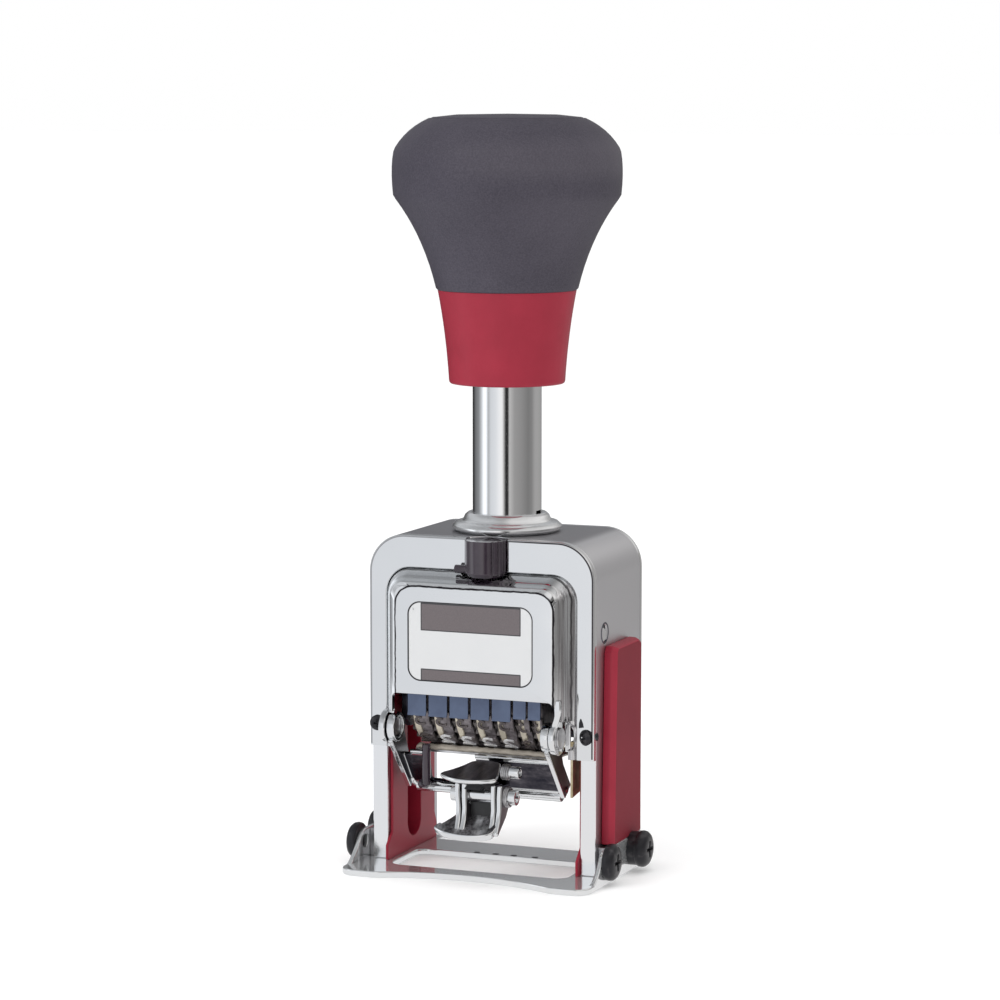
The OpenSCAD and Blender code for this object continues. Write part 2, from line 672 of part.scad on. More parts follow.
module number_wheel(i) {
    type_w = wheel_ws[i] - wheel_gap - ratchet_t - ring_t;
    translate([wheel_xs[i], -shaft_forward, shaft_z]) difference() {
        union() {
            sideways(0, ratchet_t) polygon(ratchet_points());
            color(brass) rod(ratchet_t, ratchet_t + ring_t, 0, 0, ring_r);
            color(black) rod(ratchet_t + ring_t, ratchet_t + ring_t + type_w, 0, 0, drum_r);
            color(black) for (k = [0:digits - 1]) rotate([360 * k / digits, 0, 0])
                translate([ratchet_t + ring_t, -1.9, type_r - 2]) cube([type_w, 3.8, 2]);
        }
        rod(-cut, wheel_ws[i] + cut, 0, 0, shaft_r + running_gap);
    }
}

module number_wheel_1() number_wheel(0);
module number_wheel_2() number_wheel(1);
module number_wheel_3() number_wheel(2);
module number_wheel_4() number_wheel(3);
module number_wheel_5() number_wheel(4);
module number_wheel_6() number_wheel(5);
module number_wheel_7() number_wheel(6);

// ---------- pawls ----------

pawl_shaft_r = 1.5;
pawl_y = block_back_y - 4;
pawl_tip_y = -shaft_forward + ratchet_r + gap;

module pawl_shaft() color(steel) rod(-block_out_x, block_out_x, pawl_y, shaft_z, pawl_shaft_r);

module pawl_comb() color(steel) difference() {
    union() {
        rod(-wheels_left, wheels_left, pawl_y, shaft_z, pawl_shaft_r + 1.2);
        for (x = wheel_xs) sideways(x + 0.1, x + ratchet_t - 0.1) polygon([
            [pawl_y, shaft_z + 2.4], [pawl_tip_y + 1, shaft_z + 1.4], [pawl_tip_y, shaft_z],
            [pawl_y, shaft_z - 2.4]
        ]);
    }
    rod(-wheels_left - cut, wheels_left + cut, pawl_y, shaft_z, pawl_shaft_r + running_gap);
}

module repeat_dial() color(black) translate([0, block_back_y, dial_z]) rotate([-90, 0, 0]) {
    translate([0, 0, -0.8]) cylinder(r = dial_spindle_r, h = 3);
    translate([0, 0, 1.4]) cylinder(r = 6.5, h = 1.1);
    translate([0, 0, 2.5]) cylinder(r1 = 2.8, r2 = 2.4, h = 2.2);
    translate([-0.7, -5.6, 2.5]) cube([1.4, 5.6, 1.4]);
}

// ---------- inker ----------

module bail_arm() difference() {
    union() {
        rod(bail_ear_x, bail_half_w, pivot_y, pivot_z, bail_ear_r);
        sideways(bail_half_w - bail_t, bail_half_w) polygon([
            [pivot_y - 2.6, pivot_z - 3], [bar_pivot[0] - 1.2, bar_pivot[1] - 1.6],
            [bar_pivot[0] + 1.4, bar_pivot[1] - 1.2], [bar_pivot[0] + 2, bar_pivot[1] + 1.6],
            [pivot_y + 7.2, pad_face_z + 1.2], [pivot_y + 3.9, pivot_z]
        ]);
    }
    rod(bail_ear_x - cut, bail_half_w + cut, pivot_y, pivot_z, rivet_r + running_gap);
    rod(bail_ear_x - cut, bail_half_w - ear_cup_t, pivot_y, pivot_z, ear_cup_r);
}

plate_top = [pivot_y + 4.4, pivot_z - 6.95];
nose_z = plate_top[1] + 0.35;
plate_len = norm(bar_pivot - plate_top);
plate_tilt = atan2(bar_pivot[0] - plate_top[0], plate_top[1] - bar_pivot[1]);

module inker_bail() color(chrome) translate([-bail_shift, 0, 0]) {
    both_sides() bail_arm();
    rod(-bail_ear_x - 1, bail_ear_x + 1, bar_pivot[0], bar_pivot[1], bail_bar_r);
    translate([0, bar_pivot[0], bar_pivot[1]]) rotate([plate_tilt, 0, 0]) facing(-0.5, 0.5) difference() {
        translate([-bail_ear_x - 1, 0]) square([2 * bail_ear_x + 2, plate_len]);
        translate([bail_shift - 6.7, 4.1]) rounded(12.2, 5.4, 1.5);
    }
}

module pad_tray() color(steel) difference() {
    sideways(-pad_half_w - tray_t, pad_half_w + tray_t) polygon([
        [pad_front_y + 0.7, pad_face_z - pad_t - tray_t], [pad_back_y, pad_face_z - pad_t - tray_t],
        [pad_back_y, pad_face_z - 1], [pad_front_y + 0.7, pad_face_z - 1]
    ]);
    sideways(-pad_half_w, pad_half_w) polygon([
        [pad_front_y - cut, pad_face_z - pad_t], [pad_back_y - tray_t, pad_face_z - pad_t],
        [pad_back_y - tray_t, pad_face_z], [pad_front_y - cut, pad_face_z]
    ]);
    translate([0, bar_pivot[0], bar_pivot[1]]) rotate([plate_tilt, 0, 0])
        translate([-frame_w / 2, -8, 0]) cube([frame_w, 8.5, plate_len]);
}

module felt_pad() color(felt) difference() {
    sideways(-pad_half_w, pad_half_w) polygon([
        [plate_top[0] + 1.6, pad_face_z - pad_t], [pad_back_y - tray_t, pad_face_z - pad_t],
        [pad_back_y - tray_t, pad_face_z], [pad_front_y + 4.6, pad_face_z], [pad_front_y + 1, nose_z],
        [pad_front_y, nose_z], [pad_front_y, plate_top[1] + 0.2], [plate_top[0] + 0.6, plate_top[1] + 0.2]
    ]);
    translate([0, bar_pivot[0], bar_pivot[1]]) rotate([plate_tilt, 0, 0])
        translate([-frame_w / 2, -8, 0]) cube([frame_w, 8.5, plate_len]);
}

module pad_catch() color(black) translate([-14.3, pad_front_y - 1.3, 0]) {
    translate([0, 0, pad_face_z - 6.5]) cylinder(r = 1, h = 8, $fn = 32);
    translate([0, 0, pad_face_z - 6.5]) rotate([-90, 0, 0]) cylinder(r = 1, h = 4.9, $fn = 32);
}

// Finger tab that widens from its back to a bowed front edge, seen from above
module blade(back_half_w, depth, bow) {
    bow_r = (finger_half_w * finger_half_w + bow * bow) / (2 * bow);
    polygon([
        [-back_half_w, 0], [back_half_w, 0], [back_half_w, -depth / 3],
        [finger_half_w, -depth], [-finger_half_w, -depth], [-back_half_w, -depth / 3]
    ]);
    intersection() {
        translate([0, -depth - bow + bow_r]) circle(r = bow_r);
        translate([-finger_half_w, -depth - bow]) square([2 * finger_half_w, bow]);
    }
}

tab_y = pivot_y + 2.6;
tab_z = pivot_z - 8.1;
tab_tilt = 10.5;

// Upper finger tab, fixed on the bracket
module finger_tab() color(chrome) translate([finger_x, tab_y, tab_z]) rotate([tab_tilt, 0, 0])
    linear_extrude(finger_t) blade(3.5, 10, 2.7);

module lever_bracket() color(black) difference() {
    top = [for (y = [lever_y + 5, lever_y - 1.4]) [y, tab_z + (y - tab_y) * tan(tab_tilt)]];
    sideways(finger_x - 2, finger_x + 2) polygon([
        [lever_y - 2, lever_z - 1.6], [bar_pivot[0] - bail_bar_r, bar_pivot[1] - 0.6],
        [bar_pivot[0] - bail_bar_r, bar_pivot[1] + 0.9], [lever_y + 6, lever_z + 3], top[0], top[1],
        [lever_y - 3, lever_z + 1.6]
    ]);
    rod(finger_x - 3, finger_x + 3, lever_y, lever_z, lever_pin_r);
}

module lever_pin() color(chrome) difference() {
    rod(finger_x - 6, finger_x + 10, lever_y, lever_z, lever_pin_r);
    rod(finger_x + 7, finger_x + 11, lever_y, lever_z, lever_pin_r - 0.7);
}

module lever_spring() color(steel) translate([finger_x + 6, lever_y, lever_z]) rotate([0, 90, 0])
    coil(lever_pin_r + 0.55, 0.35, 2.6, 2, 16, 6);

// Lower finger tab with its two ribbed arms, which turns on the lever pin
module finger_lever() color(chrome) difference() {
    union() {
        for (x = [finger_x - 5.65, finger_x + 2.55]) {
            sideways(x, x + 1) lever_arm();
            sideways(x + 2.1, x + 3.1) lever_arm();
            sideways(x, x + 3.1) polygon([
                [lever_y - 2.4, lever_z + 1], [lever_y - 1.8, lever_z + 1],
                [lever_y - 2.6, lever_z - 5.6], [lever_y - 3.3, lever_z - 5.6]
            ]);
        }
        translate([finger_x, lever_y - 0.2, lever_z - 5.2]) rotate([30.5, 0, 0])
            linear_extrude(finger_t) blade(4.8, 6.7, 1.6);
    }
    rod(finger_x - 7, finger_x + 7, lever_y, lever_z, lever_pin_r + running_gap);
}

// Outline of one side strip of the lever, whose foot runs along the top of the tab
module lever_arm() polygon([
    [lever_y - 2.4, lever_z + 2.4], [lever_y + 2.2, lever_z + 2.4], [lever_y + 2.2, lever_z - 2],
    [lever_y, lever_z - 4.6], [lever_y - 4.8, lever_z - 7.6], [lever_y - 4.8, lever_z - 6.2],
    [lever_y - 2.8, lever_z - 2.8]
]);

// ---------- the whole machine ----------

frame_body();
front_plate();
front_cover();
label_plate();
cover_screws();
back_plate();
back_panel();
base_plate();
foot_screws();
side_cover_left();
side_cover_right();
guide_rail_left();
guide_rail_right();
collar_nut();
cover_rod();
spring_bar();
cam_rail();
ear_rivets();
lock_knob();
plunger_tube();
tube_plug();
handle_base();
grip_core();
handle_grip();
handle_cap();
main_spring();
block_frame();
block_back();
wheel_shaft();
leaf_bar();
leaf_springs();
guide_studs();
pawl_shaft();
number_wheel_1();
number_wheel_2();
number_wheel_3();
number_wheel_4();
number_wheel_5();
number_wheel_6();
number_wheel_7();
pawl_comb();
repeat_dial();
inker_bail();
pad_tray();
felt_pad();
pad_catch();
finger_tab();
lever_bracket();
lever_pin();
lever_spring();
finger_lever();
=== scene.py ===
"""Looks of a desk numbering machine: plated steel, plastic, rubber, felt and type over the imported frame."""

import json
import math

import bmesh
import bpy
from mathutils import Matrix, Vector


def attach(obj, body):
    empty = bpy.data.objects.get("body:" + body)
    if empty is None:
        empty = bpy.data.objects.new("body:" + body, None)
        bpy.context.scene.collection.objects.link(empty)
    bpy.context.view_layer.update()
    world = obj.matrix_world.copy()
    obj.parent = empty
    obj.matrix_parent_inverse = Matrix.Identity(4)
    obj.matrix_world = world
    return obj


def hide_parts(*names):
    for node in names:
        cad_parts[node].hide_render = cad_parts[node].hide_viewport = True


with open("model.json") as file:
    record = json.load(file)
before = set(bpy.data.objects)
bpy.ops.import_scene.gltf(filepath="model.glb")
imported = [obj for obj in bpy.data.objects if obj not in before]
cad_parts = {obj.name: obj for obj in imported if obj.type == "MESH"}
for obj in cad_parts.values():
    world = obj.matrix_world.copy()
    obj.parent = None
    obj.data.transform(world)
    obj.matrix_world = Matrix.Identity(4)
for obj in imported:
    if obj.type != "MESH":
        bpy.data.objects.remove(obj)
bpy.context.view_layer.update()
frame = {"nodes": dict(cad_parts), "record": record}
nodes = frame["nodes"]
record = frame["record"]
body_with = {n: b for b, members in record["behaviour"]["bodies"].items() for n in members}
slot_with = {row["node"]: row["material_slot"] for row in record["subparts"]}

MM = 0.001


# ---------- node trees ----------


def arithmetic(operation):
    """A method that adds a Math node of one operation to a value's tree."""

    def method(value, *others):
        return value.tree.math(operation, value, *others)

    return method


class Value:
    """An output of a node. Arithmetic on it adds Math nodes to its tree."""

    def __init__(self, tree, socket):
        self.tree = tree
        self.socket = socket

    def __rsub__(self, other):
        return self.tree.math("SUBTRACT", other, self)

    __add__ = __radd__ = arithmetic("ADD")
    __sub__ = arithmetic("SUBTRACT")
    __mul__ = __rmul__ = arithmetic("MULTIPLY")
    __truediv__ = arithmetic("DIVIDE")
    __pow__ = arithmetic("POWER")
    __mod__ = arithmetic("FLOORED_MODULO")
    __gt__ = arithmetic("GREATER_THAN")
    __lt__ = arithmetic("LESS_THAN")
    __abs__ = arithmetic("ABSOLUTE")
    least = arithmetic("MINIMUM")
    most = arithmetic("MAXIMUM")
    sine = arithmetic("SINE")
    cosine = arithmetic("COSINE")
    angle_to = arithmetic("ARCTAN2")


class Step:
    """A node that was added, whose outputs are taken by name or number."""

    def __init__(self, tree, node):
        self.tree = tree
        self.node = node

    def __getitem__(self, key):
        return Value(self.tree, self.node.outputs[key])


class Tree:
    """A node tree that is built one call at a time."""

    def __init__(self, tree):
        self.tree = tree

    def feed(self, socket, value):
        if isinstance(value, Value):
            self.tree.links.new(value.socket, socket)
        else:
            socket.default_value = value

    def add(self, kind, settings=None, values=None):
        """Adds a node, with settings of its own, stops for a ramp, and values or links for its inputs."""
        node = self.tree.nodes.new(kind)
        for key, value in (settings or {}).items():
            if key == "stops":
                ramp = node.color_ramp.elements
                while len(ramp) < len(value):
                    ramp.new(0.5)
                for element, (place, tone) in zip(ramp, value):
                    element.position = place
                    element.color = (tone, tone, tone, 1.0)
            else:
                setattr(node, key, value)
        for key, value in (values or {}).items():
            self.feed(node.inputs[key], value)
        return Step(self, node)

    def math(self, operation, *terms):
        return self.add("ShaderNodeMath", {"operation": operation}, dict(enumerate(terms)))[0]


def colour(value):
    """A colour as a node's input takes it, from a link or from three numbers."""
    return value if isinstance(value, Value) else (*value, 1.0)


class Finish(Tree):
    """A material whose pattern follows the piece in metres."""

    def __init__(self, name):
        self.material = bpy.data.materials.new(name)
        self.material.use_nodes = True
        super().__init__(self.material.node_tree)
        self.tree.nodes.clear()
        self.place = self.add("ShaderNodeTexCoord")["Object"]
        axes = self.add("ShaderNodeSeparateXYZ", values={0: self.place})
        self.x, self.y, self.z = axes[0], axes[1], axes[2]

    def stretched(self, sx, sy, sz):
        """The place in the piece, with each axis scaled, for a pattern that runs along one of them."""
        scaled = {0: self.place, 1: (sx, sy, sz)}
        return self.add("ShaderNodeVectorMath", {"operation": "MULTIPLY"}, scaled)[0]

    def noise(self, scale, detail=2.0, rough=0.5, place=None):
        values = {"Vector": place or self.place, "Scale": scale, "Detail": detail, "Roughness": rough}
        return self.add("ShaderNodeTexNoise", values=values)[0]

    def cells(self, scale, feature="F1"):
        values = {"Vector": self.place, "Scale": scale}
        return self.add("ShaderNodeTexVoronoi", {"feature": feature}, values)[0]

    def ramp(self, value, *stops):
        return self.add("ShaderNodeValToRGB", {"stops": stops}, {0: value})[0]

    def stain(self, low, high, *noise):
        """Share that is 0 where a noise is under a low level and 1 where it is over a high one."""
        return self.ramp(self.noise(*noise), (low, 0.0), (high, 1.0))

    def blend(self, share, low, high):
        """A colour between two, at a share from 0 to 1."""
        colours = {0: share, 6: colour(low), 7: colour(high)}
        return self.add("ShaderNodeMix", {"data_type": "RGBA"}, colours)[2]

    def mix(self, share, low, high):
        """A number between two, at a share from 0 to 1."""
        return self.add("ShaderNodeMix", {"data_type": "FLOAT"}, {0: share, 2: low, 3: high})[0]

    def facing(self, axis):
        """How far the surface of the piece itself faces along X, Y or Z, from -1 to 1."""
        normal = self.add("ShaderNodeTexCoord")["Normal"]
        return self.add("ShaderNodeSeparateXYZ", values={0: normal})[axis]

    def soft_step(self, value, low, high):
        """Share that runs smoothly from 0 at a low value to 1 at a high one."""
        values = {0: value, 1: low, 2: high}
        return self.add("ShaderNodeMapRange", {"interpolation_type": "SMOOTHSTEP"}, values)[0]

    def past(self, place, low, high):
        """Soft step between two places in mm."""
        return self.soft_step(place, low * MM, high * MM)

    def rim_distance(self, box, radius):
        """Distance from the edge of a rounded rectangle in X and Z, given in mm as x0, x1, z0 and z1."""
        x0, x1, z0, z1 = (v * MM for v in box)
        r = radius * MM
        across = abs(self.x - (x0 + x1) / 2) - ((x1 - x0) / 2 - r)
        up = abs(self.z - (z0 + z1) / 2) - ((z1 - z0) / 2 - r)
        corner_x, corner_z = across.most(0.0), up.most(0.0)
        inner = across.most(up).least(0.0)
        return (corner_x * corner_x + corner_z * corner_z) ** 0.5 + inner - r

    def rim_line(self, box, radius, width, waver=0.0):
        """Share of 1 on a thin line round that rectangle, which may waver by a distance in metres."""
        return 1 - self.past(abs(self.rim_distance(box, radius) + waver), width * 0.25, width * 0.75)

    def done(self, tone, rough, metallic=0.0, height=None, depth=0.0, **fixed):
        """Ends the tree in a shader; depth is the relief in mm of a height of 1."""
        values = {"Base Color": colour(tone), "Roughness": rough, "Metallic": metallic}
        if height is not None:
            relief = {"Strength": 1.0, "Distance": depth * MM, "Height": height}
            values["Normal"] = self.add("ShaderNodeBump", values=relief)[0]
        shader = self.add("ShaderNodeBsdfPrincipled", values=values | fixed)
        self.add("ShaderNodeOutputMaterial", values={"Surface": shader[0]})
        return self.material


class Build(Tree):
    """A Geometry Nodes tree with named sizes in mm, which makes one piece."""

    def __init__(self, name, **sizes):
        self.group = bpy.data.node_groups.new(name, "GeometryNodeTree")
        super().__init__(self.group)
        self.name = name
        self.sizes = sizes
        sockets = self.group.interface
        sockets.new_socket("Start", in_out="INPUT", socket_type="NodeSocketGeometry")
        kinds = {int: "NodeSocketInt", float: "NodeSocketFloat"}
        self.keys = {
            size: sockets.new_socket(size, in_out="INPUT", socket_type=kinds[type(value)]).identifier
            for size, value in sizes.items()
        }
        sockets.new_socket("Piece", in_out="OUTPUT", socket_type="NodeSocketGeometry")
        self.start = self.add("NodeGroupInput")

    def size(self, name):
        """A size as the tree uses it, in metres, or a count as it is."""
        value = self.start[name]
        return value if isinstance(self.sizes[name], int) else value * MM

    def at(self, x=0.0, y=0.0, z=0.0):
        return self.add("ShaderNodeCombineXYZ", values={0: x, 1: y, 2: z})[0]

    def moved(self, geometry, place=None, turn=None, scale=None):
        wanted = {"Translation": place, "Rotation": turn, "Scale": scale}
        values = {key: value for key, value in wanted.items() if value is not None}
        return self.add("GeometryNodeTransform", values={"Geometry": geometry} | values)[0]

    def joined(self, *parts):
        step = self.add("GeometryNodeJoinGeometry")
        for part in parts:
            self.feed(step.node.inputs[0], part)
        return step[0]

    def copies(self, points, instance, **settings):
        values = {"Points": points, "Instance": instance} | settings
        return self.add("GeometryNodeInstanceOnPoints", values=values)[0]

    def cylinder(self, sides, radius, length):
        """A cylinder about Z, from the names of its sizes."""
        values = {"Vertices": sides, "Radius": self.size(radius), "Depth": self.size(length)}
        return self.add("GeometryNodeMeshCylinder", values=values)["Mesh"]

    def single(self, geometry):
        """Copies turned into one geometry."""
        return self.add("GeometryNodeRealizeInstances", values={0: geometry})[0]

    def made(self, geometry, start=None):
        """Runs the tree with its sizes and gives the piece as a plain mesh."""
        self.add("NodeGroupOutput", values={0: self.single(geometry)})
        piece = as_object(self.name, start or bpy.data.meshes.new(self.name))
        maker = piece.modifiers.new("maker", "NODES")
        maker.node_group = self.group
        for size, value in self.sizes.items():
            maker[self.keys[size]] = value
        return settled(piece)


# ---------- finishes ----------

# Half width, lower edge, upper edge and corner radius of the label's window
WINDOW_HALF, WINDOW_LOW, WINDOW_TOP, WINDOW_RADIUS = 15.4, 46.1, 64.4, 3.0
WINDOW = (-WINDOW_HALF, WINDOW_HALF, WINDOW_LOW, WINDOW_TOP)
# Left, right, top and corner radius of the cover's flat face
FACE = (-18.7, 20.5, 68.0, 4.4)


def plating(name):
    """Starts bright plating with faint smears, specks and hairlines: its tree, tone, roughness and relief."""
    g = Finish(name)
    smear = g.noise(55, 3)
    speck = g.stain(0.62, 0.72, 5200, 2, 0.7)
    hairline = g.stain(0.56, 0.6, 900, 1, 0.5, g.stretched(0.05, 1, 1))
    tone = g.blend(smear, (0.8, 0.815, 0.825), (0.86, 0.87, 0.875))
    rough = 0.035 + smear * 0.04 + hairline * 0.02 + speck * 0.02
    return g, tone, rough, smear * 0.7 + speck * 0.05


def mirror_chrome():
    g, tone, rough, height = plating("mirror_chrome")
    return g.done(tone, rough, 1.0, height, 0.04)


def plate_chrome():
    """Bright plating with a fine dark line of painted shade just inside a flat plate's outer edge, where the
    gap to the frame lies.
    """
    g, tone, rough, height = plating("plate_chrome")
    # Painted shade: the dark line of the gap at the plate's edge, stronger toward the right.
    line = g.rim_line((-27.6, 27.6, -20.0, 78.6), 8.6, 0.34) * (0.55 + 0.45 * g.past(g.x, -5, 15))
    line = line * (g.z > 29.2 * MM)
    return g.done(g.blend(line, tone, (0.03, 0.025, 0.03)), rough + line * 0.3, 1.0, height, 0.04)


def cover_chrome():
    """Bright plating with painted shade: dark lines where the pressed cover is creased, at the foot of its
    wall and where the label is let in, and a darker tone with drawn streaks on its right slope.
    """
    g, tone, rough, height = plating("cover_chrome")
    waver = (g.noise(420, 3) - 0.5) * 0.5 * MM
    front = g.y < -22.0 * MM
    # Painted shade: dark lines in the crease round the flat face, at the foot of the wall and round the
    # label's recess.
    crease_shade = g.rim_line((FACE[0], FACE[1], 20.0, FACE[2]), FACE[3], 0.42, waver) * front
    foot = g.rim_line((-22.95, 22.75, 10.0, 71.0), 5.6, 0.3, waver) * (g.y > -17.6 * MM) * (g.z > 38 * MM)
    recess = g.rim_line(WINDOW, WINDOW_RADIUS, 0.3)
    dark = (crease_shade + foot * 0.8 + recess).least(1.0)
    # Painted shade on the right slope: a darker tone, streaked along drawn lines.
    draw = g.stain(0.38, 0.62, 1500, 3, 0.7, g.stretched(1, 1, 0.02))
    side = g.past(g.x, 20.2, 21.6) * (1 - front)
    tone = g.blend(side * draw, tone, (0.33, 0.31, 0.32))
    rough = rough + dark * 0.3 + side * 0.06
    return g.done(g.blend(dark, tone, (0.02, 0.018, 0.022)), rough, 1.0, height, 0.04)


def inker_chrome():
    """Plating of the inker: bright on its arms and bar, with a dark mottled painted reflection on the sheet
    between them and painted shade on the faces that look sideways.
    """
    g, tone, rough, height = plating("inker_chrome")
    inside = g.past(g.x, -20.1, -19.7) * (1 - g.past(g.x, 17.0, 17.5))
    sheet = inside * g.past(g.z, 19.4, 20.0) * (1 - g.past(g.z, 26.9, 27.1))
    cloud = g.noise(160, 5, 0.65, g.stretched(1, 1, 0.8))
    streak = g.noise(520, 4, 0.7, g.stretched(0.35, 1, 1))
    # Painted reflection: the noise named ink mottles the sheet dark, standing for what its chrome reflects.
    ink = g.ramp(cloud * 0.6 + streak * 0.4, (0.4, 0.0), (0.52, 0.35), (0.62, 1.0))
    painted_reflection_tone = g.blend(ink, (0.014, 0.014, 0.024), (0.13, 0.12, 0.135))
    # Painted shade: the faces that look sideways are darker.
    cheek = g.soft_step(abs(g.facing(0)), 0.85, 0.97)
    tone = g.blend(cheek * 0.9, tone, (0.09, 0.095, 0.11))
    rough = rough + sheet * 0.16 + cheek * 0.25
    return g.done(g.blend(sheet, tone, painted_reflection_tone), rough, 1.0, height + ink * 0.5, 0.05)


def satin_chrome():
    """Brushed plating of the frame, polished on the faces that look forward, with painted light elsewhere:
    lighter higher up, and painted shade on the faces that look up.
    """
    g = Finish("satin_chrome")
    grain = g.noise(7000, 2, 0.6)
    smear = g.noise(40, 2)
    # Painted light: the tone rises from dark low down to light higher up.
    rise = g.ramp(g.z * 12.5, (0.1, 0.0), (0.95, 1.0))
    tone = g.blend(rise * 0.8 + grain * 0.2, (0.46, 0.455, 0.475), (0.74, 0.745, 0.765))
    # Painted shade on the faces that look up.
    tone = g.blend(g.soft_step(g.facing(2), 0.9, 0.99), tone, (0.36, 0.355, 0.37))
    front = (g.y < -14.6 * MM) + (g.y > 14.6 * MM)
    tone = g.blend(front, tone, (0.9, 0.91, 0.92))
    return g.done(tone, (0.3 + grain * 0.1 + smear * 0.06) * (1 - front * 0.8), 1.0, grain, 0.012)


def tab_chrome(name, level, low, high):
    """Plating of a finger tab: bright round edges, a streaked painted reflection on the faces that look up,
    and a dark line of painted shade where they meet the edges.
    """
    g, tone, rough, height = plating(name)
    up = g.facing(2)
    # Painted reflection: the faces that look up get two streaked tones.
    face = g.soft_step(up, *level)
    streak = g.stain(0.47, 0.62, 170, 3, 0.6, g.stretched(1.6, 0.3, 1))
    speck = g.stain(0.35, 0.65, 1400, 3, 0.7)
    hollow = g.blend(streak * 0.75 + speck * 0.25, low, high)
    # Painted shade: a dark line just where a face turns from looking up.
    line = g.soft_step(up, level[0] - 0.16, level[0] - 0.1) * (1 - face)
    tone = g.blend(line * 0.9, tone, (0.03, 0.025, 0.035))
    return g.done(g.blend(face, tone, hollow), rough + face * 0.26, 1.0, height, 0.04)


def cheek_chrome():
    """Bright plating, dull and darkened by painted shade on the faces that look sideways."""
    g, tone, rough, height = plating("cheek_chrome")
    # Painted shade on the faces that look sideways.
    side = g.soft_step(abs(g.facing(0)), 0.88, 0.98)
    return g.done(g.blend(side * 0.9, tone, (0.14, 0.125, 0.14)), rough + side * 0.3, 1.0, height, 0.04)


def base_chrome():
    """Pale, slightly milky plating of the base strips."""
    g, tone, rough, height = plating("base_chrome")
    return g.done(tone, rough + 0.03, 0.82, height, 0.04)


def collar_chrome():
    """Old plating of the collar, a little milky, with dark turned lines."""
    g, tone, rough, height = plating("collar_chrome")
    turned = g.stain(0.56, 0.66, 2600, 2, 0.6, g.stretched(0.02, 0.02, 1))
    tone = g.blend(turned * 0.5, tone, (0.25, 0.23, 0.25))
    return g.done(tone, rough + 0.02, 0.86, height, 0.04)


def drawn_steel(name, low, high, rough):
    """Plain steel with drawn lines along X and a faint stain."""
    g = Finish(name)
    draw = g.noise(3000, 2, 0.6, g.stretched(0.08, 1, 1))
    stain = g.noise(260, 3, 0.6)
    tone = g.blend(g.ramp(stain, (0.35, 0.0), (0.65, 1.0)), low, high)
    return g.done(tone, rough + draw * 0.12 + stain * 0.1, 1.0, draw, 0.01)


def blued_steel():
    """Blue tempered steel of the leaf springs, with a grey painted highlight toward their bent lower ends."""
    g = Finish("blued_steel")
    heat = g.stain(0.3, 0.7, 220, 3, 0.6)
    draw = g.noise(4200, 2, 0.6, g.stretched(1, 1, 0.06))
    blue = g.blend(heat, (0.1, 0.125, 0.195), (0.13, 0.165, 0.25))
    # Painted highlight: grey and lighter below a height, on the bent lower ends.
    tone = g.blend(g.past(g.z, 34.5, 37.2), (0.3, 0.29, 0.32), blue)
    return g.done(tone, 0.24 + draw * 0.14, 0.75, draw, 0.006)


def red_plastic():
    """Deep red moulded plastic, with painted shade darkening the outer face of the right side cover."""
    g = Finish("red_plastic")
    flow = g.noise(120, 3, 0.55)
    speck = g.noise(5200, 2, 0.6)
    tone = g.blend(flow * 0.75 + speck * 0.25, (0.25, 0.01, 0.026), (0.38, 0.018, 0.044))
    # Painted shade: the right side cover's outer face is darker.
    outer = g.past(g.x, 27.9, 28.3) * g.soft_step(g.facing(0), 0.9, 0.99)
    tone = g.blend(outer * 0.62, tone, (0.11, 0.002, 0.009))
    return g.done(tone, 0.34 + speck * 0.14 + outer * 0.3, 0.0, speck, 0.014, **{"Specular IOR Level": 0.28})


def grip_rubber():
    """Pebbled black rubber of the grip, rubbed paler in patches, with a paler painted highlight band on its
    right shoulder.
    """
    g = Finish("grip_rubber")
    pebble = g.cells(2100, "SMOOTH_F1")
    fine = g.noise(5200, 2, 0.6)
    rub = g.stain(0.3, 0.7, 38, 3, 0.6)
    grain = g.stain(0.35, 0.65, 2600, 3, 0.7)
    tone = g.blend(rub * 0.4 + grain * 0.6, (0.03, 0.026, 0.042), (0.068, 0.06, 0.082))
    # Painted highlight: a paler band round the right shoulder.
    shoulder_highlight = g.ramp(g.z, (0.1635, 0.0), (0.166, 1.0), (0.1685, 0.0)) * g.past(g.x, -8, 14)
    tone = g.blend(shoulder_highlight * 0.5, tone, (0.2, 0.18, 0.2))
    height = pebble * 0.6 + fine * 0.4
    return g.done(tone, 0.5 + fine * 0.16, 0.0, height, 0.055, **{"Specular IOR Level": 0.42})


def knob_lacquer():
    """Glossy plum black lacquer."""
    g = Finish("knob_lacquer")
    flow = g.noise(190, 3, 0.6)
    tone = g.blend(flow, (0.01, 0.007, 0.011), (0.045, 0.03, 0.045))
    return g.done(tone, 0.12 + flow * 0.08, 0.0, flow, 0.02, **{"Coat Weight": 0.6, "Coat Roughness": 0.05})


def black_plastic():
    """Black moulded plastic with a little dust."""
    g = Finish("black_plastic")
    speck = g.noise(4200, 2, 0.6)
    dust = g.stain(0.5, 0.8, 300, 3, 0.7)
    tone = g.blend(dust * 0.5, (0.012, 0.012, 0.014), (0.04, 0.038, 0.042))
    return g.done(tone, 0.26 + speck * 0.12 + dust * 0.1, 0.0, speck, 0.008)


def worn_metal(name, stain, ends, low, high, rough, metallic, grain=None, stretch=(), depth=0.01):
    """Metal in two tones, mixed by a stain between two levels of its noise, under a fine grain if any."""
    g = Finish(name)
    share = g.stain(*ends, *stain)
    fine = g.noise(*grain, g.stretched(*stretch) if stretch else None) if grain else share
    return g.done(g.blend(share, low, high), rough[0] + fine * rough[1], metallic, fine, depth)


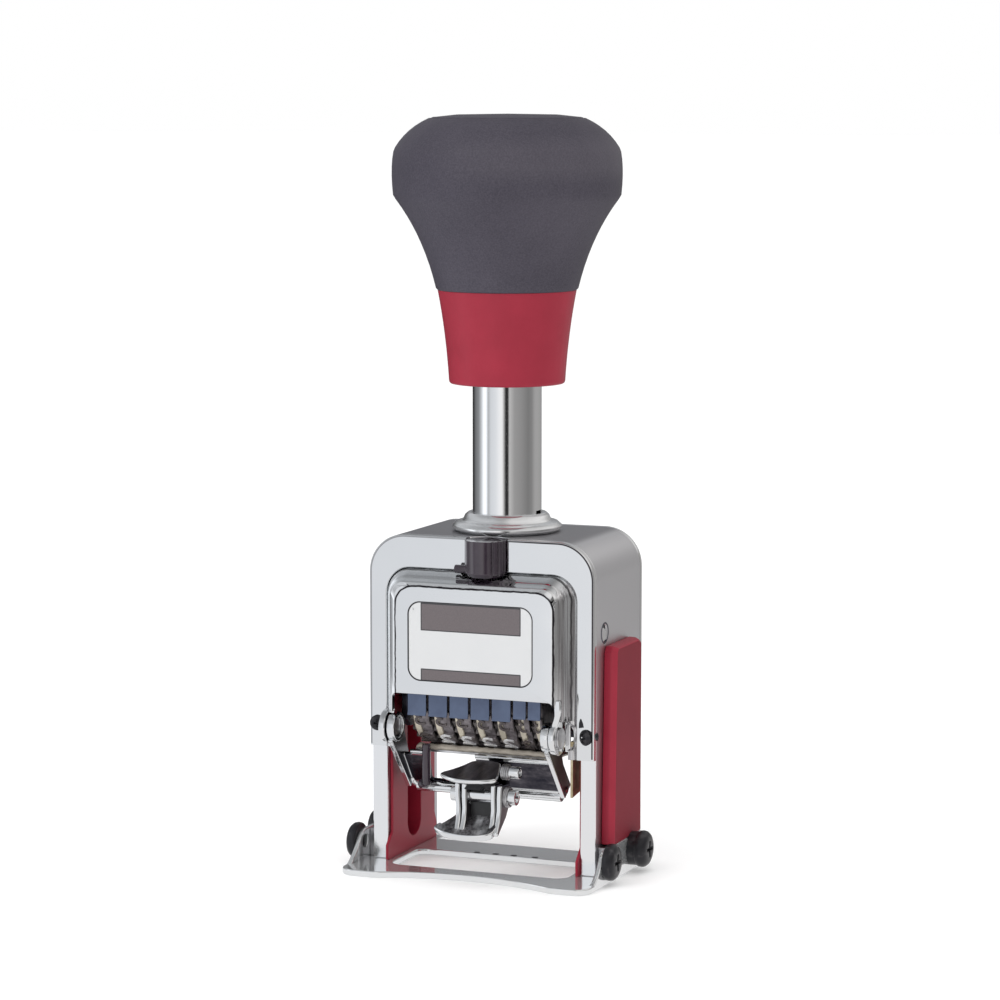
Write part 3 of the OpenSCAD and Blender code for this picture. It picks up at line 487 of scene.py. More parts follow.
def felt():
    """Matted felt with old ink in it."""
    g = Finish("felt")
    fibre = g.noise(2400, 4, 0.75)
    mat = g.cells(1500)
    stain = g.stain(0.35, 0.7, 150, 3, 0.6)
    tone = g.blend(fibre * 0.5 + stain * 0.5, (0.2, 0.175, 0.145), (0.56, 0.51, 0.44))
    return g.done(tone, 0.92, 0.0, fibre * 0.7 + mat * 0.3, 0.16)


def label_paint():
    """White enamel with two warm grey bands, each between two heights and finely outlined."""
    g = Finish("label_paint")
    x0, x1 = -12.15, 12.45
    upper, lower = (57.9, 64.1), (46.05, 48.8)
    across = (g.x > x0 * MM) * (g.x < x1 * MM)
    heights = [(g.z > low * MM) * (g.z < high * MM) for low, high in (upper, lower)]
    band = across * (heights[0] + heights[1])
    line = g.rim_line((x0, x1, *upper), 0.05, 0.24) + g.rim_line((x0, x1, 45.0, lower[1]), 0.05, 0.24)
    # Painted shade: the dark line round the window, where the label meets its recess.
    line = line + g.rim_line(WINDOW, WINDOW_RADIUS, 0.36)
    dot = g.noise(4200, 1, 0.5)
    grey = g.blend(dot, (0.1, 0.085, 0.09), (0.16, 0.135, 0.14))
    white = g.blend(g.noise(90, 2), (0.6, 0.61, 0.62), (0.65, 0.655, 0.66))
    tone = g.blend(line.least(1.0), g.blend(band, white, grey), (0.03, 0.03, 0.035))
    return g.done(tone, 0.3 + dot * 0.1, 0.0, dot, 0.004)


def floor_paper():
    """White paper, with a little light of its own."""
    g = Finish("floor_paper")
    fibre = g.noise(900, 3, 0.6)
    tone = g.blend(fibre, (0.9, 0.9, 0.9), (0.93, 0.93, 0.93))
    return g.done(tone, 0.8, 0.0, None, 0.0, **{"Emission Color": (1, 1, 1, 1), "Emission Strength": 0.12})


def worn_type():
    """Type faces: bright, mottled with ink, on the four middle wheels; dark on the others; and dark higher
    up, where painted shade stands for the inside of the machine.
    """
    g = Finish("worn_type")
    ink = g.stain(0.5, 0.7, 900, 4, 0.65)
    # The bright figures: those of the four middle wheels, below a height; above it painted shade makes them
    # dark.
    bright_figures = g.past(g.x, -12.2, -12.0) * (1 - g.past(g.x, 8.9, 9.1))
    bright_figures = bright_figures * (1 - g.past(g.z, 33.2, 34.2))
    bright = g.blend(ink, (0.9, 0.91, 0.93), (0.35, 0.33, 0.35))
    tone = g.blend(bright_figures, (0.1, 0.085, 0.085), bright)
    return g.done(tone, 0.16 + ink * 0.2, 0.25, ink, 0.01)


# Two tones of the painted reflection on the tabs' upper faces: white for the lower tab, dark for the upper
# one.
PAINTED_WHITE_REFLECTION = ((0.1, 0.092, 0.1), (0.95, 0.95, 0.97))
PAINTED_DARK_REFLECTION = ((0.045, 0.04, 0.058), (0.16, 0.15, 0.175))
FINE, FINER = (3600, 2, 0.6), (5200, 2, 0.6)

FINISHES = {
    "mirror_chrome": mirror_chrome(),
    "cover_chrome": cover_chrome(),
    "plate_chrome": plate_chrome(),
    "inker_chrome": inker_chrome(),
    "tab_chrome": tab_chrome("tab_chrome", (0.9, 0.975), *PAINTED_DARK_REFLECTION),
    "low_tab_chrome": tab_chrome("low_tab_chrome", (0.79, 0.85), *PAINTED_WHITE_REFLECTION),
    "cheek_chrome": cheek_chrome(),
    "collar_chrome": collar_chrome(),
    "base_chrome": base_chrome(),
    "satin_chrome": satin_chrome(),
    "steel": drawn_steel("bright_steel", (0.42, 0.42, 0.43), (0.72, 0.72, 0.74), 0.2),
    "spring_steel": drawn_steel("spring_steel", (0.3, 0.3, 0.31), (0.6, 0.6, 0.61), 0.24),
    "blued_steel": blued_steel(),
    "black_steel": worn_metal(
        "black_steel", (420, 4, 0.65), (0.52, 0.75), (0.016, 0.016, 0.02), (0.07, 0.066, 0.07),
        (0.3, 0.15), 0.4, FINE,
    ),
    "red_plastic": red_plastic(),
    "black_plastic": black_plastic(),
    "grip_rubber": grip_rubber(),
    "brass": worn_metal(
        "aged_brass", (300, 4, 0.6), (0.3, 0.7), (0.42, 0.34, 0.2), (0.72, 0.64, 0.46),
        (0.26, 0.16), 1.0, (2600, 2, 0.5), (1, 0.15, 0.15),
    ),
    "felt": felt(),
    "label": label_paint(),
    "type_metal": worn_metal(
        "type_metal", (700, 4, 0.65), (0.4, 0.66), (0.13, 0.115, 0.12), (0.27, 0.245, 0.26),
        (0.28, 0.2), 0.55, FINER, depth=0.012,
    ),
    "worn_type": worn_type(),
    # Dark bluish steel; on the wheel block it paints the shade and dark reflections inside the machine.
    "dark_steel": worn_metal(
        "dark_steel", (260, 4, 0.65), (0.35, 0.7), (0.03, 0.032, 0.045), (0.1, 0.105, 0.14),
        (0.24, 0.12), 0.8, FINE,
    ),
    "knob_lacquer": knob_lacquer(),
    "tooth_steel": worn_metal(
        "tooth_steel", (420, 4, 0.6), (0.35, 0.65), (0.09, 0.08, 0.08), (0.2, 0.18, 0.17), (0.26, 0.12), 0.7
    ),
    "ring_brass": worn_metal(
        "ring_brass", (300, 4, 0.6), (0.3, 0.7), (0.62, 0.56, 0.45), (0.78, 0.72, 0.6), (0.3, 0.12), 0.4
    ),
}


# ---------- making and placing pieces ----------

dressed_nodes = set()


def as_object(name, mesh):
    piece = bpy.data.objects.new(name, mesh)
    bpy.context.scene.collection.objects.link(piece)
    return piece


def meshed(name, shape):
    mesh = bpy.data.meshes.new(name)
    shape.to_mesh(mesh)
    shape.free()
    return as_object(name, mesh)


def settled(piece):
    """Turns a piece's modifiers into its plain mesh."""
    bpy.context.view_layer.update()
    ready = piece.evaluated_get(bpy.context.evaluated_depsgraph_get())
    mesh = bpy.data.meshes.new_from_object(ready)
    piece.modifiers.clear()
    piece.data = mesh
    return piece


def rounded(piece, width, segments=2, angle=32):
    """Rounds edges that turn by more than an angle, to a width in mm, and shades flat faces flat."""
    piece.data.shade_smooth()
    if width:
        bevel = piece.modifiers.new("edges", "BEVEL")
        bevel.width = width * MM
        bevel.segments = segments
        bevel.limit_method = "ANGLE"
        bevel.angle_limit = math.radians(angle)
        bevel.use_clamp_overlap = False
        bevel.miter_outer = "MITER_ARC"
    else:
        piece.data.set_sharp_from_angle(angle=math.radians(angle))
    even = piece.modifiers.new("even", "WEIGHTED_NORMAL")
    even.keep_sharp = True
    even.weight = 80
    return settled(piece)


def put(piece, body, finish, stands_for=()):
    """Sets a finished piece on its body, in place of the CAD nodes that it stands for."""
    piece.data.materials.clear()
    piece.data.materials.append(FINISHES[finish])
    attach(piece, body)
    if stands_for:
        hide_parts(*stands_for)
        dressed_nodes.update(stands_for)


def in_place_of(piece, node, finish=None):
    """Sets a piece in place of a CAD node, in the finish of its slot if no other is named."""
    put(piece, body_with[node], finish or slot_with[node], [node])


def beside(piece, name, node, finish, body=None):
    """Adds a piece that stands for no CAD node, on the body of one, in a given finish."""
    piece.name = name
    put(piece, body or body_with[node], finish)


def whole_faces(node, name):
    """A piece in the shape of a CAD node, with its triangles joined into whole faces."""
    shape = bmesh.new()
    shape.from_mesh(nodes[node].data)
    bmesh.ops.remove_doubles(shape, verts=shape.verts, dist=2e-6)
    bmesh.ops.dissolve_limit(shape, angle_limit=math.radians(0.3), verts=shape.verts, edges=shape.edges)
    return meshed(name, shape)


# ---------- solids and tools ----------


def doorway(x0, x1, top, radius, low, steps=14):
    """Points of a doorway outline in X and Z, from its lower left end round to its lower right end."""
    side, across = top - radius - low, x1 - x0 - 2 * radius
    turns = [math.pi / 2 * k / steps for k in range(steps + 1)]
    line = [(x0, low + side * t / 8) for t in range(8)]
    line += [(x0 + radius - radius * math.cos(a), top - radius + radius * math.sin(a)) for a in turns]
    line += [(x0 + radius + across * t / 10, top) for t in range(1, 10)]
    line += [(x1 - radius + radius * math.sin(a), top - radius + radius * math.cos(a)) for a in turns]
    return line + [(x1, low + side * t / 8) for t in range(7, -1, -1)]


def placed(shape, points):
    """New vertices of a shape, at points in mm."""
    return [shape.verts.new([v * MM for v in point]) for point in points]


def arches(shape, stations):
    """Rows of vertices of an arched form, each from its left, right, top, corner radius, lower end and Y."""
    return [placed(shape, [(x, row[5], z) for x, z in doorway(*row[:5])]) for row in stations]


def bridged(shape, near, far):
    """Faces between two rows of vertices."""
    for a, b, c, d in zip(near, near[1:], far[1:], far):
        shape.faces.new((a, b, c, d))


def solid(name, rings):
    """A closed solid through rings of points in mm, each joined to the next."""
    shape = bmesh.new()
    rows = [placed(shape, ring) for ring in rings]
    for near, far in zip(rows, rows[1:]):
        bridged(shape, near + near[:1], far + far[:1])
    shape.faces.new(rows[0])
    shape.faces.new(rows[-1][::-1])
    bmesh.ops.recalc_face_normals(shape, faces=shape.faces)
    return meshed(name, shape)


def along_x(name, x0, x1, outline):
    """A solid along X with an outline in Y and Z."""
    return solid(name, [[(x, y, z) for y, z in outline] for x in (x0, x1)])


def rectangle(z, x0, x1, y0, y1):
    return [(x0, y0, z), (x1, y0, z), (x1, y1, z), (x0, y1, z)]


def block(x0, x1, y0, y1, z0, z1):
    return solid("block", [rectangle(z, x0, x1, y0, y1) for z in (z0, z1)])


def bar(start, end, radius, steps=72):
    """A round bar between two points."""
    start, end = Vector(start), Vector(end)
    long = (end - start).length * MM
    shape = bmesh.new()
    sizes = {"radius1": radius * MM, "radius2": radius * MM, "depth": long}
    bmesh.ops.create_cone(shape, cap_ends=True, segments=steps, **sizes)
    turn = (end - start).to_track_quat("Z", "Y").to_matrix().to_4x4()
    bmesh.ops.transform(shape, matrix=Matrix.Translation((start + end) * MM / 2) @ turn, verts=shape.verts)
    return meshed("bar", shape)


def rod(x0, x1, y, z, radius):
    """A round bar along X."""
    return bar((x0, y, z), (x1, y, z), radius)


def cut_by(piece, *tools, operation="DIFFERENCE"):
    """Cuts tools out of a piece, and removes them."""
    for tool in tools:
        step = piece.modifiers.new("cut", "BOOLEAN")
        step.object = tool
        step.operation = operation
        step.solver = "EXACT"
    settled(piece)
    for tool in tools:
        bpy.data.objects.remove(tool)
    return piece


def joined_with(piece, *others):
    """Makes one solid of a piece and others that run into it."""
    return cut_by(piece, *others, operation="UNION")


# ---------- front plate, cover and side parts ----------

EAR_AXIS = (-19.0, 34.1)
COVER_EARS = (("left", -23.1, -21.6), ("right", 19.2, 20.7))


def knob_notch(radius):
    """A tool that clears the lock knob's stem."""
    return bar((1.6, -17.0, 70.0), (1.6, -17.0, 90.0), radius)


def front_plate(edge=0.3, front=-16.5, back=-15.0, low=28.8):
    """The polished front plate, an arched sheet with rounded edges and a notch for the knob."""
    turns = [(edge * (1 - math.cos(a)), edge * (1 - math.sin(a))) for a in (0, 0.4, 0.8, 1.2, math.pi / 2)]
    stations = []
    for (half, top, radius), way in (((28.0, 79.0, 9.0), 1), ((23.7, 71.3, 6.0), -1)):
        side = [(back, 0.0)] + [(front + set_back, way * drawn) for drawn, set_back in turns]
        line = [(-half + d, half - d, top - d, radius - d, low, y) for y, d in side]
        stations += line[::way]
    shape = bmesh.new()
    rings = arches(shape, stations)
    for near, far in zip(rings, rings[1:] + rings[:1]):
        bridged(shape, near, far)
    for end in (0, -1):
        shape.faces.new([ring[end] for ring in rings])
    bmesh.ops.recalc_face_normals(shape, faces=shape.faces)
    piece = cut_by(meshed("front_plate_sheet", shape), knob_notch(5.2))
    in_place_of(rounded(piece, 0, 2, 30), "front_plate", "plate_chrome")


def cover_shell(front=-23.0):
    """The pressed cover: a drawn arch whose sides slope in to a flat face with a window for the label."""
    stations = (
        (-24.05, 24.05, 71.6, 6.3, -15.4), (-23.62, 23.6, 71.25, 6.1, -15.9),
        (-23.4, 23.3, 71.15, 5.9, -16.6), (-23.0, 22.8, 71.0, 5.6, -17.1),
        (-22.5, 22.4, 70.7, 5.2, -18.0), (-21.95, 22.1, 70.2, 4.8, -19.4),
        (-21.55, 21.9, 69.75, 4.5, -20.3), (-21.2, 21.65, 69.5, 4.2, -20.55),
        (-20.6, 21.3, 69.2, 3.8, -21.6), (-19.95, 20.9, 68.85, 3.2, -22.5),
        (*FACE, -22.88), (-18.9, 20.0, 67.95, 2.3, front),
    )
    shape = bmesh.new()
    rings = arches(shape, [(*row[:4], 28.8, row[4]) for row in stations])
    for near, far in zip(rings, rings[1:]):
        bridged(shape, near, far)
    reach_x = WINDOW_HALF - WINDOW_RADIUS
    reach_z = (WINDOW_TOP - WINDOW_LOW) / 2 - WINDOW_RADIUS
    window = []
    for quarter, (sx, sz) in enumerate(((1, 1), (-1, 1), (-1, -1), (1, -1))):
        for k in range(9):
            a = math.pi / 2 * (quarter + k / 8)
            x = sx * reach_x + WINDOW_RADIUS * math.cos(a)
            z = (WINDOW_LOW + WINDOW_TOP) / 2 + sz * reach_z + WINDOW_RADIUS * math.sin(a)
            window.append((x, front, z))
    window, rim = placed(shape, window), rings[-1]
    edges = [shape.edges.new(pair) for pair in zip(window, window[1:] + window[:1])]
    edges += [shape.edges.get(pair) for pair in zip(rim, rim[1:])]
    edges.append(shape.edges.new((rim[-1], rim[0])))
    bmesh.ops.triangle_fill(shape, edges=edges, use_beauty=True)
    bmesh.ops.recalc_face_normals(shape, faces=shape.faces)
    if sum(f.normal.y * f.calc_area() for f in shape.faces) > 0:
        bmesh.ops.reverse_faces(shape, faces=shape.faces)
    piece = meshed("cover_shell", shape)
    wall = piece.modifiers.new("wall", "SOLIDIFY")
    wall.thickness = 1.0 * MM
    wall.offset = -1
    wall.use_even_offset = True
    settled(piece)
    y, z = EAR_AXIS
    mouth = doorway(-19.7, 20.4, 42.8, 1.3, 20.0, 6)
    # The mouth, the front below it, the room in front of the legs, the ears' seats and the knob's notch
    cut_by(
        piece,
        solid("mouth", [[(x, depth, height) for x, height in mouth] for depth in (-30, -18.5)]),
        block(-24, 24, -30, -20.55, 20, 38.2),
        block(19, 24, -30, -20.55, 20, 41.6),
        block(19, 25, -30, -16.9, 20, 31.0),
        block(-25, -19, -30, -16.9, 20, 31.0),
        rod(-28, COVER_EARS[0][1], y, z, 4.3),
        rod(COVER_EARS[1][2], 28, y - 0.6, z, 4.1),
        rod(-21.6, -19, y, z, 3.7),
        knob_notch(5.9),
    )
    in_place_of(rounded(piece, 0.12, 2, 42), "front_cover", "cover_chrome")
    for side, x0, x1 in COVER_EARS:
        ear = cut_by(rod(x0, x1, y, z, 4.0), rod(-30, 30, y, z, 1.55))
        beside(rounded(ear, 0.25, 3, 30), "cover_ear_" + side, "front_cover", "mirror_chrome")
    levels = (
        (43.4, 20.3, 21.9, -22.3, -21.0), (42.2, 20.45, 22.05, -22.5, -21.2),
        (41.0, 20.6, 22.1, -22.5, -21.2), (39.8, 20.6, 22.0, -22.45, -21.1),
        (38.7, 20.3, 21.7, -22.3, -20.7), (37.7, 19.8, 21.2, -21.9, -20.2),
        (36.6, 19.4, 20.7, -21.4, -19.6), (35.6, 19.3, 20.6, -20.8, -19.2),
    )
    neck = solid("neck", [rectangle(*level) for level in levels])
    beside(rounded(neck, 0.25, 3, 50), "ear_neck_right", "front_cover", "mirror_chrome")


def side_panel():
    """The left side cover, which sits a little further back than the front leg hides."""
    outline = [(-9.9, 14.1), (7.4, 14.1), (7.4, 53.1), (6.4, 54.5), (-7.6, 54.5), (-8.6, 53.1)]
    rings = [
        [(x, y + inset if y < 0 else y, z - inset / 2 if z > 50 else z) for y, z in outline]
        for x, inset in ((-28.0, 0.0), (-29.6, 0.0), (-30.6, 0.9))
    ]
    in_place_of(rounded(solid("side_panel_left", rings), 0.25, 3, 25), "side_cover_left", "red_plastic")


def side_liner():
    """The steel liner inside the right leg, in a brownish brass tone, which shows under the cover, and its
    bright front lip.
    """
    outline = [(-16.2, 19.8), (-10.6, 20.6), (-10.6, 33.0), (-16.2, 33.0)]
    liner = along_x("liner", 22.2, 22.8, outline)
    beside(rounded(liner, 0.1, 2, 40), "side_liner", "cam_rail", "brass")
    lip = block(21.0, 22.3, -16.6, -15.9, 30.5, 41.0)
    beside(rounded(lip, 0.2, 3, 40), "liner_lip", "cam_rail", "mirror_chrome")


def side_bush(y=-9.4, z=57.6):
    """The bushing in the frame's right side, with the end of the cover's rod in it."""
    ring = cut_by(rod(27.6, 28.08, y, z, 2.5), rod(26.0, 30.0, y, z, 2.05))
    beside(rounded(ring, 0.12, 3, 40), "side_bush", "cover_rod", "dark_steel")
    end = rod(27.2, 27.95, y - 0.35, z - 0.5, 1.7)
    beside(rounded(end, 0.4, 4, 40), "side_bush_end", "cover_rod", "mirror_chrome")


def scale_marks():
    """Four small dark ticks on the rear strip of the base, which help to line up a sheet."""
    shape = bmesh.new()
    for x in (-7.3, -2.5, 2.1, 7.5):
        for v in bmesh.ops.create_cube(shape, size=1.0)["verts"]:
            v.co = Vector((x + v.co.x * 1.3, -0.95 + v.co.y * 0.8, 1.47 + v.co.z * 0.25)) * MM
    beside(meshed("ticks", shape), "scale_marks", "base_plate", "black_steel")


# ---------- screws and springs ----------

LEVER_PIN = (-23.0, 20.3)
STOP_AXIS = (-22.2, 26.0)


def lathe(profile, steps=64):
    """A solid of revolution about Z from radius and height points in mm, with closed poles."""
    shape = bmesh.new()
    line = placed(shape, [(r, 0, z) for r, z in profile])
    edges = [shape.edges.new(pair) for pair in zip(line, line[1:])]
    turn = {"axis": (0, 0, 1), "cent": (0, 0, 0), "angle": 2 * math.pi, "steps": steps, "use_merge": True}
    bmesh.ops.spin(shape, geom=line + edges, **turn)
    bmesh.ops.remove_doubles(shape, verts=shape.verts, dist=1e-7)
    bmesh.ops.recalc_face_normals(shape, faces=shape.faces)
    return meshed("turned", shape)


def with_cross(piece, span, arm, depth, top):
    """Cuts a cross recess, narrower at its bottom, into a head that faces up."""
    tools = []
    for x, y in ((arm / 2, span / 2), (span / 2, arm / 2)):
        low = rectangle(top - depth, -x * 0.72, x * 0.72, -y * 0.72, y * 0.72)
        tools.append(solid("cross", [low, rectangle(top + depth, -x, x, -y, y)]))
    return cut_by(piece, *tools)


def heads(name, source, places, turns, node, replaced=True):
    """One head on each of several places, turned in degrees from facing up, in black steel."""
    build = Build(name, Size=1.0)
    line = bpy.data.meshes.new(name + "_places")
    line.from_pydata([Vector(p) * MM for p in places], [], [])
    turned = line.attributes.new("turn", "FLOAT_VECTOR", "POINT")
    for k, turn in enumerate(turns):
        turned.data[k].vector = [math.radians(a) for a in turn]
    read = build.add("GeometryNodeInputNamedAttribute", {"data_type": "FLOAT_VECTOR"}, {"Name": "turn"})
    model = build.add("GeometryNodeObjectInfo", values={"Object": source})["Geometry"]
    size = build.start["Size"]
    turned_to = {"Rotation": read["Attribute"], "Scale": build.at(size, size, size)}
    piece = build.made(build.copies(build.start["Start"], model, **turned_to), line)
    bpy.data.objects.remove(source)
    rounded(piece, 0.06, 2, 40)
    put(piece, body_with[node], "black_steel", [node] if replaced else ())


def foot_screws():
    """Four black domed screws with cross recesses, on the two end flanges."""
    crown, flange, seat = 2.7, 31.0, 5.4
    dome = [(0, 0.15), (1.9, 0.02), (2.9, 0.15), (3.65, 0.5), (4.15, 1.1), (4.3, 1.8), (4.2, 2.45)]
    for side, hand in ((-1, "left"), (1, "right")):
        for where, y, length in (("front", -15.3, crown), ("rear", 1.1, 4.6)):
            profile = [(radius, length - down) for radius, down in dome + [(3.95, crown)]]
            profile += [(3.95, 0.0), (0, 0.0)] if length > crown else [(3.9, 0.0), (0, 0.0)]
            source = with_cross(lathe(profile), 4.6, 0.95, 1.0, length)
            place, turn = (side * flange, y, seat), (0, side * 90, 0)
            first = side < 0 and where == "front"
            heads(f"foot_screw_{where}_{hand}", source, [place], [turn], "foot_screws", first)


def cover_screws():
    """Two small black screws with cross recesses that hold the front plate."""
    profile = [(0, 1.0), (0.8, 0.98), (1.35, 0.8), (1.75, 0.45), (1.88, 0.1), (1.88, 0.0), (1.1, 0.0)]
    source = with_cross(lathe(profile + [(1.1, -3.0), (0, -3.0)]), 2.3, 0.5, 0.55, 1.0)
    places = [(side * 26.0, -16.5, 34.2) for side in (-1, 1)]
    heads("cover_screw_pair", source, places, [(90, 0, 20), (90, 0, -35)], "cover_screws")


def notch_shade():
    """A dark wedge of black steel on the front plate beside the right screw: painted shade of the notch
    there.
    """
    outline = [(-0.5, -1.1), (0.75, -0.85), (0.55, 0.1), (0.1, 1.15), (-0.15, 1.1), (-0.45, 0.1)]
    # Painted shade: a dark wedge standing for the shade in the notch.
    hook = solid("hook", [[(24.86 + x, y, 37.4 + z) for x, z in outline] for y in (-16.54, -16.3)])
    beside(rounded(hook, 0.03, 1, 40), "spring_hook_right", "cover_screws", "black_steel")


def coil(name, place, turn, steps=(28, 10), **sizes):
    """Wire wound about Z, then turned in degrees and set in place, with steps round a turn and the wire."""
    build = Build(name, **sizes)
    radius, wire = build.size("Radius"), build.size("Wire")
    spiral = {"Resolution": steps[0], "Rotations": build.start["Turns"], "Height": build.size("Height")}
    spiral |= {"Start Radius": radius, "End Radius": radius}
    curve = build.add("GeometryNodeCurveSpiral", values=spiral)[0]
    ring = build.add("GeometryNodeCurvePrimitiveCircle", values={"Resolution": steps[1], "Radius": wire})[0]
    wound = {"Curve": curve, "Profile Curve": ring, "Fill Caps": True}
    body = build.add("GeometryNodeCurveToMesh", values=wound)[0]
    piece = build.made(build.moved(body, [v * MM for v in place], [math.radians(a) for a in turn]))
    piece.data.shade_smooth()
    return piece


def spring_end():
    """The wound end of the inker's spring, which shows above the left ear."""
    sizes = {"Radius": 0.55, "Wire": 0.16, "Height": 3.4, "Turns": 7.0}
    end = coil("spring_end", (-23.4, -18.6, 36.2), (-8, 28, 0), (20, 8), **sizes)
    beside(end, "spring_end", "ear_rivets", "spring_steel")


def lever_spring():
    sizes = {"Radius": 2.15, "Wire": 0.22, "Height": 1.2, "Turns": 3.2}
    in_place_of(coil("lever_coil", (8.9, *LEVER_PIN), (0, 90, 0), **sizes), "lever_spring")


def return_spring():
    sizes = {"Radius": 5.08, "Wire": 0.8, "Height": 70.0, "Turns": 13.0}
    in_place_of(coil("return_spring", (0, 0, 56.75), (0, 0, 0), **sizes), "main_spring")


# ---------- wheels ----------

WHEEL_AXIS = (-8.0, 39.5)
WHEEL_STARTS = (-17.4, -12.12, -6.84, -1.56, 3.72, 9.0, 13.0)
WHEEL_WIDTHS = (5.28, 5.28, 5.28, 5.28, 5.28, 4.0, 3.2)
RATCHET_W, RING_W, SIDE_GAP = 1.0, 1.4, 0.3
# Share of the pitch from a tooth's root to its tip
TOOTH_LEAN = 6 / 36


def on_axle(build, geometry, middle, turn=(0, math.pi / 2, 0)):
    """Sets a shape on the wheels' axle, at a distance in mm along it, turned to it from Z."""
    return build.moved(geometry, [v * MM for v in (middle, *WHEEL_AXIS)], turn)


def ratchet(number, middle):
    """A disc whose rim points are drawn out into teeth with one steep side."""
    build = Build(f"ratchet_{number}", Teeth=20, Tip=10.1, Depth=0.9, Thick=RATCHET_W)
    teeth = build.size("Teeth")
    disc = build.cylinder(teeth * 2, "Tip", "Thick")
    step = build.add("GeometryNodeInputIndex")[0] % (teeth * 2)
    odd = step % 2
    angle = ((step - odd) / 2 + odd * TOOTH_LEAN) * (2 * math.pi) / teeth
    radius = build.size("Tip") - build.size("Depth") * (1 - odd)
    place = build.add("ShaderNodeSeparateXYZ", values={0: build.add("GeometryNodeInputPosition")[0]})
    on_rim = (place[0] * place[0] + place[1] * place[1]) > 1e-8
    point = build.at(radius * angle.cosine() * on_rim, radius * angle.sine() * on_rim, place[2])
    toothed = build.add("GeometryNodeSetPosition", values={"Geometry": disc, "Position": point})[0]
    return build.made(on_axle(build, toothed, middle))


def ring(number, middle):
    build = Build(f"ring_{number}", Radius=10.2, Thick=RING_W)
    return build.made(on_axle(build, build.cylinder(96, "Radius", "Thick"), middle))


def drum(number, middle, width):
    """A drum with ten flat lands round it."""
    build = Build(f"drum_{number}", Radius=9.8, Width=width, Face=10.4, Land=3.8, Lands=10)
    core = on_axle(build, build.cylinder(90, "Radius", "Width"), middle)
    size = build.at(build.size("Width"), build.size("Land"), 1.4 * MM)
    land = build.add("GeometryNodeMeshCube", values={"Size": size})["Mesh"]
    land = build.moved(land, build.at(0.0, 0.0, build.size("Face") - 0.7 * MM))
    seats = build.add("GeometryNodeMeshLine", values={"Count": build.size("Lands"), "Offset": (0, 0, 0)})[0]
    turn = build.at(build.add("GeometryNodeInputIndex")[0] * (2 * math.pi) / build.size("Lands"))
    lands = on_axle(build, build.copies(seats, land, Rotation=turn), middle, None)
    return build.made(build.joined(core, lands))


def figures(number, middle, width):
    """The digits round a wheel, each raised on its land and drawn narrower on a narrow wheel."""
    build = Build(f"figures_{number}", Height=5.6, Raise=0.35, Face=10.38, Squeeze=min(1.3, width / 3.1))
    squeeze = build.at(build.start["Squeeze"] * -1.0, 1.0, 1.0)
    rows = []
    for k in range(10):
        figure = {"String": str((k + 1) % 10), "Size": build.size("Height")}
        line = build.add("GeometryNodeStringToCurves", {"align_x": "CENTER", "align_y": "MIDDLE"}, figure)[0]
        flat = build.add("GeometryNodeFillCurve", values={0: build.single(line)})[0]
        raised = {"Mesh": flat, "Offset Scale": build.size("Raise")}
        raised = build.add("GeometryNodeExtrudeMesh", values=raised)["Mesh"]
        closed = build.joined(raised, build.add("GeometryNodeFlipFaces", values={0: flat})[0])
        closed = build.add("GeometryNodeMergeByDistance", values={"Geometry": closed, "Distance": 1e-7})[0]
        standing = build.moved(closed, scale=squeeze)
        standing = build.moved(standing, build.at(0.0, 0.0, build.size("Face")))
        rows.append(build.moved(standing, turn=(math.radians(180 - 36 * k), 0, 0)))
    piece = build.made(on_axle(build, build.joined(*rows), middle, None))
    shape = bmesh.new()
    shape.from_mesh(piece.data)
    bmesh.ops.remove_doubles(shape, verts=shape.verts, dist=1e-7)
    bmesh.ops.recalc_face_normals(shape, faces=shape.faces)
    shape.to_mesh(piece.data)
    shape.free()
    return piece


def number_wheel(number, start, width):
    """One wheel: a bright toothed ratchet, a pale ring, a dark drum with lands, and a figure on each land."""
    body = f"wheel_{number}"
    drum_start = start + RATCHET_W + RING_W
    drum_w = width - SIDE_GAP - RATCHET_W - RING_W
    put(rounded(ratchet(number, start + RATCHET_W / 2), 0.08, 2, 25), body, "tooth_steel")
    put(rounded(ring(number, start + RATCHET_W + RING_W / 2), 0.12, 2, 25), body, "ring_brass")
    in_place_of(rounded(drum(number, drum_start + drum_w / 2, drum_w), 0.1, 2, 40), f"number_{body}")
    figure_w = width - 1.2
    put(figures(number, start + 0.65 + figure_w / 2, figure_w), body, "worn_type")


# ---------- inker and finger lever ----------


def felt_cushion(columns=72):
    """The inked felt, pressed hollow by the wheels that rest above it."""
    profile = (
        (-14.3, 28.5), (-14.55, 28.85), (-14.4, 29.2), (-13.8, 29.5), (-12.9, 29.45), (-11.6, 28.95),
        (-9.8, 28.45), (-8.0, 28.25), (-6.2, 28.45), (-4.6, 28.85), (-3.6, 29.05), (-3.2, 28.7),
        (-3.15, 27.8), (-13.6, 28.1),
    )
    rings = []
    for c in range(columns + 1):
        share = c / columns
        swell = 0.12 * math.sin(share * 77) + 0.08 * math.sin(share * 31 + 1)
        lift = swell * 0.6 - (0.35 if c in (0, columns) else 0.0)
        rings.append([(-17.1 + 33.7 * share, y, z + lift if z > 28 else z) for y, z in profile])
    piece = solid("felt_cushion", rings)
    piece.data.shade_smooth()
    in_place_of(piece, "felt_pad")


def felt_tray():
    """The shallow steel tray under the felt."""
    outline = [(-14.0, 27.7), (-2.9, 27.2), (-2.9, 28.4), (-3.15, 28.4), (-3.15, 27.8), (-13.6, 28.1)]
    outline.append((-14.0, 28.3))
    in_place_of(rounded(along_x("felt_tray", -17.5, 17.0, outline), 0.1, 2, 40), "pad_tray", "steel")


BAR_AXIS = (-8.2, 18.4)
SHEET_TOP = (-14.6, 27.15)


